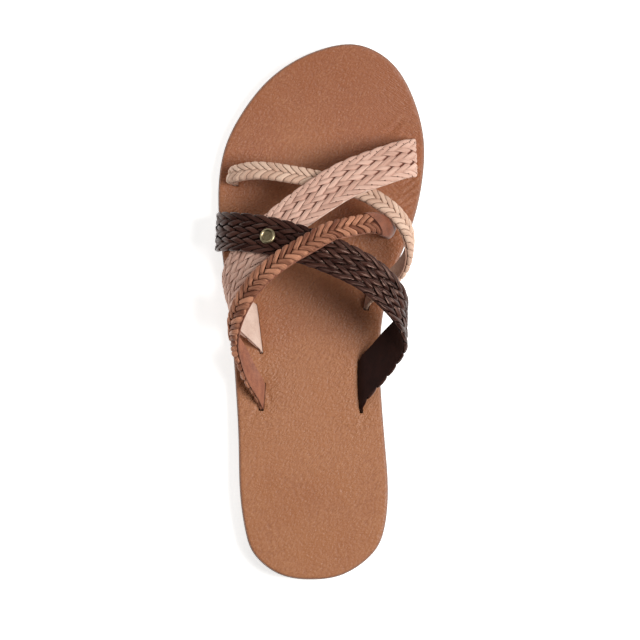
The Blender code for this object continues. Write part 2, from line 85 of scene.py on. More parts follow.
# The ranges that most values of a noise texture lie in
WIDE = (0.3, 0.7)
MIDDLE = (0.35, 0.65)


class Edge(NamedTuple):
    """A station of the sole's edge, seen from above."""

    along: float
    inner: float
    outer: float


SOLE_EDGES = tuple(Edge(*row) for row in (
    (0.0103, -0.148, 0.168), (0.0476, -0.284, 0.289), (0.0850, -0.337, 0.328), (0.1597, -0.361, 0.357),
    (0.2530, -0.347, 0.364), (0.3464, -0.328, 0.376), (0.4211, -0.321, 0.390), (0.4958, -0.338, 0.410),
    (0.5705, -0.388, 0.432), (0.6358, -0.455, 0.452), (0.7012, -0.507, 0.463), (0.7573, -0.532, 0.457),
    (0.8133, -0.537, 0.425), (0.8693, -0.511, 0.352), (0.9253, -0.454, 0.240), (0.9627, -0.386, 0.119),
    (0.9870, -0.302, -0.012),
))


class Form(NamedTuple):
    """A station of the foot form: how far out each slot and side and the ridge are, and how high they are."""

    along: float
    inner_slot: float
    inner_side: float
    ridge: float
    outer_side: float
    outer_slot: float
    inner_rise: float
    height: float
    outer_rise: float


FOOT_FORM = tuple(Form(*row) for row in (
    (0.311, -0.232, -0.442, -0.075, 0.352, 0.257, 0.48, 1.16, 0.36),
    (0.363, -0.221, -0.442, -0.075, 0.358, 0.245, 0.48, 1.10, 0.36),
    (0.466, -0.240, -0.442, -0.066, 0.374, 0.267, 0.48, 1.00, 0.32),
    (0.541, -0.272, -0.450, -0.056, 0.424, 0.299, 0.44, 0.89, 0.28),
    (0.628, -0.342, -0.473, -0.046, 0.442, 0.375, 0.36, 0.75, 0.24),
    (0.699, -0.415, -0.483, -0.046, 0.434, 0.384, 0.24, 0.62, 0.18),
    (0.774, -0.478, -0.490, -0.051, 0.388, 0.362, 0.14, 0.49, 0.12),
    (0.830, -0.478, -0.483, -0.061, 0.333, 0.312, 0.10, 0.40, 0.08),
))
FORM_UNITS = [BALL_WIDTH] * 5 + [INSTEP_HEIGHT] * 3


class StrapKind(Enum):
    """The four straps, by the colour of their leather."""

    NATURAL = "natural"
    BLUSH = "blush"
    DARK = "dark"
    TAN = "tan"


class Fold(NamedTuple):
    """A fold of a strap's route: its place on the form, its height over it in mm, and its side's tuck."""

    along: float
    around: float
    lift: float = 0.0
    tuck: float = 0.0


ROUTES = {kind: tuple(Fold(*row) for row in rows) for kind, rows in {
    StrapKind.NATURAL: (
        (0.752, 230), (0.754, 198), (0.758, 165), (0.765, 140, -0.8), (0.762, 116, -2.7), (0.754, 98, -3.4),
        (0.743, 80, -3.4), (0.726, 62, -3.1), (0.700, 46, -0.6), (0.669, 28, 0.2), (0.629, 6), (0.590, -13),
        (0.561, -28), (0.526, -50)),
    StrapKind.BLUSH: (
        (0.787, -50), (0.787, -10), (0.784, 28), (0.768, 54), (0.745, 76), (0.707, 96), (0.667, 113),
        (0.621, 132), (0.575, 151), (0.535, 170), (0.507, 187), (0.485, 208), (0.468, 230)),
    StrapKind.DARK: (
        (0.649, 230), (0.649, 198, 1.0), (0.648, 166, 2.6), (0.645, 140, 3.0), (0.635, 118, 3.0),
        (0.616, 98, 3.0), (0.593, 78, 1.6), (0.566, 57, 0.2), (0.526, 33), (0.484, 5), (0.445, -18),
        (0.402, -33), (0.359, -50)),
    StrapKind.TAN: (
        (0.656, -50, 0.0, 0.90), (0.656, -15, 0.0, 0.95), (0.657, 20, 0.0, 0.90), (0.665, 48, 0.0, 0.62),
        (0.657, 71, 1.8, 0.15), (0.642, 86, 5.4), (0.621, 97, 6.4), (0.598, 109, 6.4), (0.572, 122, 4.8),
        (0.541, 136, 3.3), (0.502, 152, 3.1), (0.461, 172, 2.4), (0.419, 191, 1.6), (0.377, 205, 0.8),
        (0.341, 230)),
}.items()}


def unit(vectors: Array) -> Array:
    """Scale each row of an array of vectors to length 1."""
    return vectors / np.linalg.norm(vectors, axis=-1, keepdims=True)


def dot(one: Array, two: Array) -> Array:
    """Dot product of two arrays of vectors, row by row, as a column."""
    return np.sum(one * two, axis=-1, keepdims=True)


def smooth_step(value: Array) -> Array:
    """Ease from 0 to 1 as the value goes from 0 to 1."""
    held = np.clip(value, 0.0, 1.0)
    return held * held * (3 - 2 * held)


def signed_power(value: Array, power: float) -> Array:
    """Raise the size of a value to a power and keep its sign."""
    return np.sign(value) * np.abs(value) ** power


def gone_along(line: Array, power: float = 1.0) -> Array:
    """Sum of the steps, each raised to a power, up to each point of a line."""
    return np.concatenate([[0.0], np.cumsum(np.linalg.norm(np.diff(line, axis=0), axis=1) ** power)])


def read_rows(places: Array, knots: Array, rows: Array) -> Array:
    """Read rows of values at places between their knots, straight from one to the next."""
    return np.column_stack([np.interp(places, knots, column) for column in rows.T])


def distance_from(marks: Array, points: Array, parts: int = 16) -> Array:
    """Distance of points from the nearest of some marks, seen from above.

    Args:
        marks: The marks' places.
        points: The points.
        parts: How many parts the marks are read in, to spare memory.

    Returns:
        A distance for each point.
    """
    nearest = np.full(len(points), np.inf)
    for part in np.array_split(marks, parts):
        gaps = np.linalg.norm(points[:, None, :2] - part[None], axis=2)
        nearest = np.minimum(nearest, gaps.min(axis=1))
    return nearest


class SmoothCurve:
    """The natural cubic spline through rows of values."""

    def __init__(self, knots: Any, values: Any) -> None:
        """Work out the bend at each knot.

        Args:
            knots: Rising places along the curve.
            values: A row of values for each knot.
        """
        self.knots, self.values = np.asarray(knots, float), np.asarray(values, float)
        self.steps = np.diff(self.knots)
        count = len(self.knots)
        system, target = np.eye(count), np.zeros(self.values.shape)
        slopes = np.diff(self.values, axis=0) / self.steps[:, None]
        for i in range(1, count - 1):
            before, after = self.steps[i - 1], self.steps[i]
            system[i, i - 1:i + 2] = (before, 2 * (before + after), after)
            target[i] = 6 * (slopes[i] - slopes[i - 1])
        self.bends = np.linalg.solve(system, target)

    def read(self, places: Array) -> Array:
        """Read the curve.

        Args:
            places: Places along the curve, held within its ends.

        Returns:
            A row of values for each place.
        """
        places = np.clip(places, self.knots[0], self.knots[-1])
        k = np.clip(np.searchsorted(self.knots, places) - 1, 0, len(self.steps) - 1)
        done, left = (places - self.knots[k])[:, None], (self.knots[k + 1] - places)[:, None]
        step = self.steps[k][:, None]
        cubic = (self.bends[k] * left ** 3 + self.bends[k + 1] * done ** 3) / (6 * step)
        start = (self.values[k] / step - self.bends[k] * step / 6) * left
        return cubic + start + (self.values[k + 1] / step - self.bends[k + 1] * step / 6) * done


@dataclass(frozen=True)
class SoleForm:
    """The sole's outline and heights, read at distances from the back of the heel."""

    heel_height: float = 9.5 * MM
    forefoot_height: float = 5.2 * MM
    toe_spring: float = 5.5 * MM
    toe_thinning: float = 0.8 * MM
    heel_spring: float = 0.8 * MM
    arch_rise: float = 3.4 * MM
    insole_thickness: float = 3.5 * MM
    heel_tread: tuple[float, float] = (0.035, 0.275)
    forefoot_tread: tuple[float, float] = (0.590, 0.815)
    wedge: tuple[float, float] = (0.160, 0.620)
    spring_from: float = 0.795
    heel_tip_across: float = 0.005
    toe_tip_across: float = -0.180

    def ground(self, along: Array) -> Array:
        """Height of the underside: flat treads, a raised arch and a toe that springs up.

        Args:
            along: Distances from the back of the heel.

        Returns:
            A height for each.
        """
        share = along / LENGTH
        arch = (share - self.heel_tread[1]) / (self.forefoot_tread[0] - self.heel_tread[1])
        rise = self.arch_rise * np.sin(np.pi * np.clip(arch, 0, 1)) ** 2
        toe = np.clip((share - self.forefoot_tread[1]) / (1 - self.forefoot_tread[1]), 0, None)
        heel = np.clip(1 - share / self.heel_tread[0], 0, None)
        return rise + self.toe_spring * toe ** 2 + self.heel_spring * heel ** 2

    def outsole_top(self, along: Array) -> Array:
        """Height of the outsole's upper face: level at the heel, lower at the ball, up again at the toe.

        Args:
            along: Distances from the back of the heel.

        Returns:
            A height for each.
        """
        share = along / LENGTH
        drop = smooth_step((share - self.wedge[0]) / (self.wedge[1] - self.wedge[0]))
        height = self.heel_height + (self.forefoot_height - self.heel_height) * drop
        spring = np.clip((share - self.spring_from) / (1 - self.spring_from), 0, None)
        return height + (self.toe_spring - self.toe_thinning) * spring ** 2

    def insole_bottom(self, along: Array) -> Array:
        """Height of the insole's underside at distances from the heel."""
        return self.outsole_top(along) + FIT_GAP

    def insole_top(self, along: Array) -> Array:
        """Height of the face that the foot rests on at distances from the heel."""
        return self.insole_bottom(along) + self.insole_thickness

    def outline(self, count: int) -> tuple[Array, Array]:
        """The closed outline, evenly parted.

        Args:
            count: How many points to part it into, from the heel's tip round the outer side.

        Returns:
            Rows of (along, across) in metres, and the inward direction at each.
        """
        outer = [(row.along, row.outer) for row in SOLE_EDGES]
        inner = [(row.along, row.inner) for row in SOLE_EDGES]
        ring = [(0.0, self.heel_tip_across)] + outer + [(1.0, self.toe_tip_across)] + inner[::-1]
        around = np.array(ring * 3) * np.array([LENGTH, BALL_WIDTH])
        knots = gone_along(around, 0.5)
        fine = SmoothCurve(knots, around).read(
            np.linspace(knots[len(ring)], knots[2 * len(ring)], 4 * FINE_STEPS))
        gone = gone_along(fine)
        points = read_rows(np.linspace(0, gone[-1], count, endpoint=False), gone, fine)
        ahead = np.roll(points, -1, axis=0) - np.roll(points, 1, axis=0)
        return points, unit(np.column_stack([ahead[:, 1], -ahead[:, 0]]))


SOLE = SoleForm()


def place(along: Array, across: Array, height: Array) -> Array:
    """Turn distances from the heel and from the centre line and heights into points."""
    return np.stack([across + CENTRE_LINE_X, LENGTH / 2 - along, height], axis=-1)


class FootForm:
    """The foot that the straps lie over, read at shares of the length and angles round its section.

    A tuck is the share of a side's swell that is left out.
    """

    def __init__(self) -> None:
        """Run smooth curves through the stations."""
        table = np.array(FOOT_FORM)
        self.curve = SmoothCurve(table[:, 0], table[:, 1:] * FORM_UNITS)

    def points(self, along: Array, around: Array, tuck: Array) -> Array:
        """Points of the form.

        Args:
            along: Shares of the length.
            around: Angles in degrees.
            tuck: Tucks.

        Returns:
            A point for each.
        """
        sizes = self.curve.read(along).T
        inner_slot, inner_side, ridge, outer_side, outer_slot, inner_rise, height, outer_rise = sizes
        slot, side, rise, turn = np.where(
            around <= 90, (inner_slot, inner_side, inner_rise, around),
            (outer_slot, outer_side, outer_rise, 180 - around))
        side = side + (slot - side) * tuck
        arch = np.radians(np.maximum(turn, 0))
        climbed = 1 + np.minimum(turn, 0) / SLOT_TURN
        cubed = math.radians(SLOT_TURN) * (height - rise) / rise - 2 + SLOT_PACE
        share = climbed * (SLOT_PACE + climbed * (1 - SLOT_PACE - cubed + climbed * cubed))
        held = np.maximum(share, 0)
        leaning = np.minimum(held * held * (1 + FLARE_EASE) / (held + FLARE_EASE), 1)
        low = slot + (side - slot) * np.sin(np.pi / 2 * leaning)
        across = np.where(turn >= 0, ridge + (side - ridge) * np.cos(arch), low)
        up = np.where(turn >= 0, rise + (height - rise) * np.sin(arch), rise * share)
        return place(along * LENGTH, across, SOLE.insole_top(along * LENGTH) + up)

    def frames(self, along: Array, around: Array, tuck: Array) -> tuple[Array, ...]:
        """Points of the form with their directions.

        Args:
            along: Shares of the length.
            around: Angles in degrees.
            tuck: Tucks.

        Returns:
            Points, the two surface directions at each, and the outward normals.
        """
        ahead = self.points(along + ALONG_STEP, around, tuck) - self.points(along - ALONG_STEP, around, tuck)
        over = self.points(along, around + AROUND_STEP, tuck) - self.points(along, around - AROUND_STEP, tuck)
        ahead /= 2 * ALONG_STEP
        over /= 2 * AROUND_STEP
        return self.points(along, around, tuck), ahead, over, unit(np.cross(ahead, over))


FOOT = FootForm()


class StrapSurface:
    """The curved sheet that a strap's wall follows, from the bottom of one slot to that of the other.

    A place in the strap is (run, aside, lift): metres along its middle from the first slot's mouth, metres
    from the middle towards one edge, and metres out from the middle of its wall, which its slots squeeze.
    The sheet has rows along the strap and columns across it, each entry a point and its normal.
    """

    ROWS = 180
    HALF_COLUMNS = 9
    END_DEPTH = 5.3 * MM
    END_ROWS = 6
    SQUEEZE_REACH = 7 * MM
    WIDEST = 1.15

    def __init__(self, folds: tuple[Fold, ...], width: float, wall: float, squeeze: float) -> None:
        """Lay the sheet over the foot form.

        Args:
            folds: The strap's route.
            width: Its full width.
            wall: Its full thickness.
            squeeze: The share of its thickness that its slots leave.
        """
        self.width, self.wall, self.squeeze = width, wall, squeeze
        table = np.array(folds, float) * Fold(1, 1, MM, 1)
        knots = gone_along(FOOT.points(table[:, 0], table[:, 1], table[:, 3]), 0.5)
        self.curve = SmoothCurve(knots, table)
        dense = np.linspace(0, knots[-1], FINE_STEPS)
        gone = gone_along(self.centre(dense))
        self.length = gone[-1]
        self.lay(np.interp(np.linspace(0, self.length, self.ROWS), gone, dense))

    def centre(self, knots: Array) -> Array:
        """The middle of the strap's wall.

        Args:
            knots: Places along the route.

        Returns:
            A point for each.
        """
        along, around, lift, tuck = self.curve.read(knots).T
        point, _, _, normal = FOOT.frames(along, around, tuck)
        return point + normal * lift[:, None]

    def lay(self, knots: Array) -> None:
        """Walk out from the middle to both edges at each knot, then let both ends hang into their slots.

        Args:
            knots: Places along the route.
        """
        along, around, lift, tuck = self.curve.read(knots).T
        point, ahead, _, normal = FOOT.frames(along, around, tuck)
        travel = unit(self.centre(knots + KNOT_STEP) - self.centre(knots - KNOT_STEP))
        square = unit(np.cross(travel, normal))
        slot_way = unit(ahead)
        slot_way = slot_way * np.where(dot(square, slot_way) < 0, -1, 1)
        turn_in = SLOT_TURN - np.minimum(around + SLOT_TURN, 180 + SLOT_TURN - around)
        way = unit(square + (slot_way - square) * smooth_step(turn_in / SLOT_TURN)[:, None])
        slant = np.linalg.norm(np.cross(way, travel), axis=1, keepdims=True)
        stride = self.width / 2 / np.maximum(slant, SLANT_LIMIT) / self.HALF_COLUMNS
        columns = [np.hstack([point + normal * lift[:, None], normal])]
        for sign in (-1, 1):
            here, turned, heading = along, around, way * sign
            for _ in range(self.HALF_COLUMNS):
                _, ahead, over, out = FOOT.frames(here, turned, tuck)
                heading = unit(heading - out * dot(heading, out))
                step = heading * stride
                aa, ao, oo, sa, so = (dot(one, two)[:, 0] for one, two in (
                    (ahead, ahead), (ahead, over), (over, over), (step, ahead), (step, over)))
                spread = aa * oo - ao * ao
                here = here + (oo * sa - ao * so) / spread
                turned = turned + (aa * so - ao * sa) / spread
                point, _, _, out = FOOT.frames(here, turned, tuck)
                column = np.hstack([point + out * lift[:, None], out])
                columns.insert(0 if sign < 0 else len(columns), column)
        sheet = np.stack(columns, axis=1)
        drops = np.linspace(self.END_DEPTH, 0, self.END_ROWS, endpoint=False)
        hang = np.concatenate([UP, 0 * UP])
        first = [sheet[0] - hang * drop for drop in drops]
        last = [sheet[-1] - hang * drop for drop in drops[::-1]]
        self.sheet = np.concatenate([first, sheet, last])
        middle_run = np.linspace(0, self.length, self.ROWS)
        self.runs = np.concatenate([-drops, middle_run, self.length + drops[::-1]])

    def freed(self, run: Array, reach: float) -> Array:
        """How far a strap is free of its slots, from 0 at either mouth to 1 at a reach from it."""
        return smooth_step(np.minimum(run, self.length - run) / reach)

    def bend(self, run: Array, aside: Array, lift: Array) -> Array:
        """Bend flat places in the strap round the foot.

        Args:
            run: Distances along the strap.
            aside: Distances from its middle.
            lift: Distances out from the middle of its wall.

        Returns:
            Points in the frame.
        """
        row = np.interp(run, self.runs, np.arange(len(self.runs)))
        share = np.clip(aside / (self.width / 2), -self.WIDEST, self.WIDEST)
        column = (1 + share) * self.HALF_COLUMNS
        i = np.clip(row.astype(int), 0, self.sheet.shape[0] - 2)
        j = np.clip(np.floor(column).astype(int), 0, self.sheet.shape[1] - 2)
        down, right = (row - i)[:, None], (column - j)[:, None]
        near = self.sheet[i, j] * (1 - right) + self.sheet[i, j + 1] * right
        far = self.sheet[i + 1, j] * (1 - right) + self.sheet[i + 1, j + 1] * right
        spot = near * (1 - down) + far * down
        wall = self.squeeze + (1 - self.squeeze) * self.freed(run, self.SQUEEZE_REACH)
        return spot[:, :3] + unit(spot[:, 3:]) * (lift * wall)[:, None]


def linear(code: str) -> tuple[float, float, float, float]:
    """Turn an sRGB hex colour into a linear one with full alpha.

    Args:
        code: The hex code.

    Returns:
        Red, green, blue and alpha.
    """
    shares = [int(code[i:i + 2], 16) / 255 for i in (1, 3, 5)]
    r, g, b = (s / 12.92 if s <= 0.04045 else ((s + 0.055) / 1.055) ** 2.4 for s in shares)
    return r, g, b, 1.0


def in_use(sockets: Iterable[NodeSocket], name: str | None = None) -> NodeSocket:
    """The first socket in use among a node's sockets, or the first of that name."""
    return next(socket for socket in sockets if socket.enabled and name in (None, socket.name))


class Recipe:
    """A material in the making: one Principled shader and the nodes that feed it.

    An input is named by its number, or by its own name with _ for a space. It takes a value, an output
    socket, or a node, which gives its first output in use.
    """

    def __init__(self, name: str, **surface: Any) -> None:
        """Start with nothing but the shader.

        Args:
            name: The material's name.
            surface: What goes into the shader's inputs.
        """
        self.material = bpy.data.materials.new(name)
        self.material.use_nodes = True
        self.tree = self.material.node_tree
        self.finished(**surface)

    def feed(self, node: Node, inputs: dict[Any, Any]) -> None:
        """Set or link a node's inputs.

        Args:
            node: The node.
            inputs: What goes into each input.
        """
        for key, value in inputs.items():
            socket = node.inputs[key] if isinstance(key, int) else in_use(node.inputs, key.replace("_", " "))
            source = in_use(value.outputs) if isinstance(value, Node) else value
            if isinstance(source, NodeSocket):
                self.tree.links.new(source, socket)
            else:
                socket.default_value = source

    def add(self, kind: str, *first: Any, **named: Any) -> Node:
        """Add a node with its settings and links.

        Args:
            kind: The node's type.
            first: What goes into its first inputs, in their order.
            named: What goes into its other inputs, and its settings, whose names start with a small letter.

        Returns:
            The new node.
        """
        node = self.tree.nodes.new("ShaderNode" + kind)
        for key, value in named.items():
            if key[0].islower():
                setattr(node, key, value)
        inputs = {key: value for key, value in named.items() if key[0].isupper()}
        self.feed(node, dict(enumerate(first)) | inputs)
        return node

    def finished(self, **sources: Any) -> Material:
        """Feed the shader's inputs and give the material."""
        self.feed(self.tree.nodes["Principled BSDF"], sources)
        return self.material


@dataclass(frozen=True)
class BraidLeather:
    """Split cowhide lace, dyed through and braided by hand.

    The flat grain side shows drawn-out fibre streaks and small pores, and each stretch of lace takes the dye
    a little differently. Where the `rise` mark is low, at a lace's sides and where it dips under the next
    one, the
    colour turns to the gap colour: partly the raw sides' own darker colour, partly painted shade in the gaps
    between laces. The streaks and pores are drawn near 0.5 mm, the finest that shows.
    """

    name: str
    pale: str
    deep: str
    gap_shade: str
    roughness: float
    gloss_spread: float = 0.06
    shine: float = 0.35
    glint: str = "#FFFFFF"
    crease: float = 0.3
    relief: float = 0.25 * MM
    tone_share: float = 0.45
    streak: float = 0.28
    streak_length: float = 7 * MM
    streak_width: float = 0.55 * MM
    streak_roughness: float = 0.55
    pore: float = 0.5 * MM
    pore_width: float = 0.5 * MM / 1.4
    pore_share: float = 0.3
    tone_shift: float = 40.0
    gap_shade_range: tuple[float, float] = (-0.9, 0.05)
    gap_shade_share: float = 0.95
    rub: float = 3.5 * MM

    @cached_property
    def material(self) -> Material:
        """The material, which reads each strand's own `fibre` and `rise` attributes.

        Returns:
            The material.
        """
        leather = Recipe(self.name, Specular_IOR_Level=self.shine, Specular_Tint=linear(self.glint))
        add = leather.add
        fibre = add("Attribute", attribute_name="fibre").outputs["Vector"]
        rise = add("Attribute", attribute_name="rise").outputs["Fac"]
        tone = add("SeparateXYZ", fibre).outputs["Z"]
        drawn = add("Mapping", fibre, Scale=(1 / self.streak_length, 1 / self.streak_width, self.tone_shift))
        streaks = add("TexNoise", drawn, Scale=1.0, Detail=3.0, Roughness=self.streak_roughness)
        fine = add("Mapping", fibre, Scale=(1 / self.pore, 1 / self.pore_width, self.tone_shift))
        pores = add("TexNoise", fine, Scale=1.0)
        toned = add("MapRange", tone, 0.0, 1.0, 0.5 - self.tone_share, 0.5 + self.tone_share)
        streaked = add("MapRange", streaks, *WIDE, -self.streak, self.streak)
        dye = add("Math", toned, streaked, operation="ADD", use_clamp=True)
        dyed = add("Mix", dye, data_type="RGBA", A=linear(self.deep), B=linear(self.pale))
        # Painted shade: where `rise` is low the dyed colour turns to the gap colour, for the raw sides and
        # for painted shade in the gaps between laces
        sunk = add("MapRange", rise, *self.gap_shade_range, self.gap_shade_share, 0.0)
        colour = add("Mix", sunk, data_type="RGBA", A=dyed, B=linear(self.gap_shade))
        height = add("Mix", self.pore_share, A=streaks, B=pores)
        bump = add("Bump", Height=height, Strength=self.crease, Distance=self.relief)
        rubs = add("TexNoise", fibre, Scale=1 / self.rub, Detail=1.0)
        glossy, matt = self.roughness - self.gloss_spread, self.roughness + self.gloss_spread
        worn = add("MapRange", rubs, *MIDDLE, glossy, matt)
        return leather.finished(Base_Color=colour, Normal=bump, Roughness=worn)


@dataclass(frozen=True)
class LiningLeather:
    """Thin pigskin lining, buffed: a short nap that scatters light softly over a cloudy dye.

    The nap is drawn at 0.5 mm, the finest that shows.
    """

    name: str
    pale: str
    deep: str
    roughness: float = 0.78
    sheen: float = 0.1
    shine: float = 0.3
    cloud: float = 6 * MM
    nap: float = 0.5 * MM
    nap_share: float = 0.4
    relief: float = 0.15 * MM
    relief_share: float = 0.4
    dye_range: tuple[float, float] = (0.36, 0.64)

    @cached_property
    def material(self) -> Material:
        """The material, which reads the lining's own `fibre` attribute.

        Returns:
            The material.
        """
        leather = Recipe(
            self.name, Roughness=self.roughness, Sheen_Weight=self.sheen, Specular_IOR_Level=self.shine)
        add = leather.add
        fibre = add("Attribute", attribute_name="fibre").outputs["Vector"]
        clouds = add("TexNoise", fibre, Scale=1 / self.cloud, Detail=3.0)
        nap = add("TexNoise", fibre, Scale=1 / self.nap)
        share = add("MapRange", add("Mix", self.nap_share, A=clouds, B=nap), *self.dye_range)
        colour = add("Mix", share, data_type="RGBA", A=linear(self.deep), B=linear(self.pale))
        bump = add("Bump", Height=nap, Strength=self.relief_share, Distance=self.relief)
        return leather.finished(Base_Color=colour, Normal=bump)


@dataclass(frozen=True)
class InsoleLeather:
    """Full-grain cowhide, drum dyed and waxed by hand.

    Small uneven pebbles drawn out into slanting creases by the stretch over the last, a cloudy brown that
    turns redder towards the toe, and a soft wax shine. The grain is drawn near 1 mm, the finest that shows.
    `fan` is the grain of the inner toe, which lies the other way, and it comes in over `fan_across` and
    `fan_along`. Ranges along and across are in the frame's Y and X. The drift, the clouds and the patches
    are near 18, 42 and 14 mm, given as shares of a metre.
    """

    name: str = "full_grain_insole_leather"
    heel: str = "#A36B48"
    toe: str = "#955B3D"
    ridge: str = "#BC8A66"
    valley: str = "#7C4B34"
    rim: str = "#8A5E49"
    roughness: float = 0.42
    polish: tuple[float, float] = (-0.05, 0.06)
    shine: float = 0.35
    grain: float = 0.8 * MM
    stretch: float = 2.0
    turn: float = math.radians(40)
    fan_grain: float = 0.8 * MM / 1.3
    fan_stretch: float = 3.4
    fan_turn: float = math.radians(-32)
    fan_across: tuple[float, float] = (-18 * MM, -34 * MM)
    fan_along: tuple[float, float] = (-15 * MM, -35 * MM)
    pebble: float = 0.8 * MM / 1.2
    pebble_share: float = 0.3
    pebble_softness: float = 0.7
    domed: tuple[float, ...] = (0.1, 0.8, 0.75, 0.25)
    wander: float = 2.2 * MM
    wander_size: float = 1 / 55
    cloud: float = 1 / 24
    cloud_share: float = 0.45
    patch: float = 1 / 70
    redder: tuple[float, float] = (-100 * MM, 30 * MM)
    marking: tuple[float, float] = (0.1, 0.28)
    ridge_height: float = 0.66
    valley_height: float = 0.36
    relief: float = 0.43 * MM
    pulled_relief: float = 2.0

    @cached_property
    def material(self) -> Material:
        """The material, which reads Object coordinates and the insole's `rim` and `pull` attributes.

        Returns:
            The material.
        """
        leather = Recipe(self.name, Specular_IOR_Level=self.shine)
        add = leather.add
        spot = add("TexCoord").outputs["Object"]
        parts = add("SeparateXYZ", spot)
        crosswise, lengthwise = parts.outputs["X"], parts.outputs["Y"]
        rim = add("Attribute", attribute_name="rim").outputs["Fac"]
        pull = add("Attribute", attribute_name="pull").outputs["Fac"]
        drift = add("TexNoise", spot, Scale=1 / self.wander_size, Detail=1.0).outputs["Color"]
        pulled = add("VectorMath", drift, (self.wander, self.wander, 0.0), spot, operation="MULTIPLY_ADD")
        drawn, fanned = (
            add("Mapping", pulled, vector_type="TEXTURE", Rotation=(0.0, 0.0, turn), Scale=(long, 1.0, 1.0))
            for turn, long in ((self.turn, self.stretch), (self.fan_turn, self.fan_stretch)))
        creases = add("TexNoise", drawn, Scale=1 / self.grain)
        fan = add("TexNoise", fanned, Scale=1 / self.fan_grain)
        inward = add("MapRange", crosswise, *self.fan_across)
        inner_toe = add("Math", inward, add("MapRange", lengthwise, *self.fan_along), operation="MULTIPLY")
        lines = add("Mix", inner_toe, A=creases, B=fan)
        pebbles = add("TexVoronoi", drawn, feature="SMOOTH_F1", Scale=1 / self.pebble,
                      Smoothness=self.pebble_softness)
        cloud = add("TexNoise", spot, Scale=1 / self.cloud, Detail=4.0)
        patches = add("TexNoise", spot, Scale=1 / self.patch)
        domes = add("MapRange", pebbles, *self.domed)
        height = add("Mix", self.pebble_share, A=lines, B=domes)
        heelward = add("MapRange", lengthwise, *self.redder)
        clouded = add("MapRange", cloud, *WIDE, -self.cloud_share, self.cloud_share)
        share = add("Math", heelward, clouded, operation="ADD", use_clamp=True)
        colour = add("Mix", share, data_type="RGBA", A=linear(self.toe), B=linear(self.heel))
        marked = add("MapRange", patches, *MIDDLE, *self.marking)
        for tint, end in ((self.ridge, self.ridge_height), (self.valley, self.valley_height)):
            shown = add("MapRange", height, 0.5, end, To_Max=marked)
            colour = add("Mix", shown, data_type="RGBA", A=colour, B=linear(tint))
        colour = add("Mix", rim, data_type="RGBA", A=colour, B=linear(self.rim))
        tension = add("MapRange", pull, 0.0, 1.0, 1.0, self.pulled_relief)
        relief = add("Math", height, tension, operation="MULTIPLY")
        bump = add("Bump", Height=relief, Strength=1.0, Distance=self.relief)
        polish = add("MapRange", patches, *MIDDLE, *(self.roughness + change for change in self.polish))
        return leather.finished(Base_Color=colour, Normal=bump, Roughness=polish)


@dataclass(frozen=True)
class MouldedRubber:
    """Brown blown rubber from a spark-eroded mould: matt with a fine grit, paler where it is scuffed.

    The grit is drawn at 0.5 mm, the finest that shows.
    """

    name: str = "moulded_brown_rubber"
    face: str = "#6B4E3F"
    scuff: str = "#8C6F5E"
    roughness: float = 0.66
    grit: float = 0.5 * MM
    grit_share: float = 0.4
    cloud: float = 16 * MM
    scuffed: tuple[float, ...] = (0.4, 0.66, 0.0, 0.75)
    relief: float = 0.1 * MM
    relief_share: float = 0.3

    @cached_property
    def material(self) -> Material:
        """The material, which reads Object coordinates.

        Returns:
            The material.
        """
        rubber = Recipe(self.name, Roughness=self.roughness)
        add = rubber.add
        spot = add("TexCoord").outputs["Object"]
        clouds = add("TexNoise", spot, Scale=1 / self.cloud, Detail=4.0)
        grit = add("TexNoise", spot, Scale=1 / self.grit)
        share = add("MapRange", add("Mix", self.grit_share, A=clouds, B=grit), *self.scuffed)
        colour = add("Mix", share, data_type="RGBA", A=linear(self.face), B=linear(self.scuff))
        bump = add("Bump", Height=grit, Strength=self.relief_share, Distance=self.relief)
        return rubber.finished(Base_Color=colour, Normal=bump)


@dataclass(frozen=True)
class AntiqueBrass:
    """Turned brass, darkened in a bath and rubbed back: bright on the raised rim, brown in the hollow."""

    name: str = "antique_brass"
    bright: str = "#C2B490"
    patina: str = "#8C7C5E"
    roughness: float = 0.38
    tarnish: tuple[float, float] = (0.08, -0.05)
    stain: float = 1.1 * MM
    stain_share: float = 0.4
    rim_share: float = 0.6
    relief: float = 0.1 * MM
    relief_share: float = 0.12

    @cached_property
    def material(self) -> Material:
        """The material, which reads Object coordinates and the stud's own `rise` attribute.

        Returns:
            The material.
        """
        brass = Recipe(self.name, Metallic=1.0)
        add = brass.add
        spot = add("TexCoord").outputs["Object"]
        rise = add("Attribute", attribute_name="rise").outputs["Fac"]
        stain = add("TexNoise", spot, Scale=1 / self.stain, Detail=4.0)
        rubbed = add("MapRange", stain, *MIDDLE, 0.0, self.stain_share)
        share = add("Math", rise, self.rim_share, rubbed, operation="MULTIPLY_ADD", use_clamp=True)
        colour = add("Mix", share, data_type="RGBA", A=linear(self.patina), B=linear(self.bright))
        gloss = add("MapRange", stain, *WIDE, *(self.roughness + change for change in self.tarnish))
        bump = add("Bump", Height=stain, Strength=self.relief_share, Distance=self.relief)
        return brass.finished(Base_Color=colour, Normal=bump, Roughness=gloss)


@dataclass(frozen=True)
class WaxedThread:
    """Twisted polyester thread, waxed: a soft sheen and a slanting twist finer than the picture shows."""

    name: str = "waxed_thread"
    face: str = "#6E4C3E"
    roughness: float = 0.5
    twist: float = 0.35 * MM
    relief: float = 0.1 * MM
    relief_share: float = 0.3

    @cached_property
    def material(self) -> Material:
        """The material, which reads Object coordinates.

        Returns:
            The material.
        """
        thread = Recipe(self.name, Base_Color=linear(self.face), Roughness=self.roughness)
        spot = thread.add("TexCoord").outputs["Object"]
        twist = thread.add("TexWave", spot, Scale=1 / self.twist)
        bump = thread.add("Bump", Height=twist, Strength=self.relief_share, Distance=self.relief)
        return thread.finished(Normal=bump)


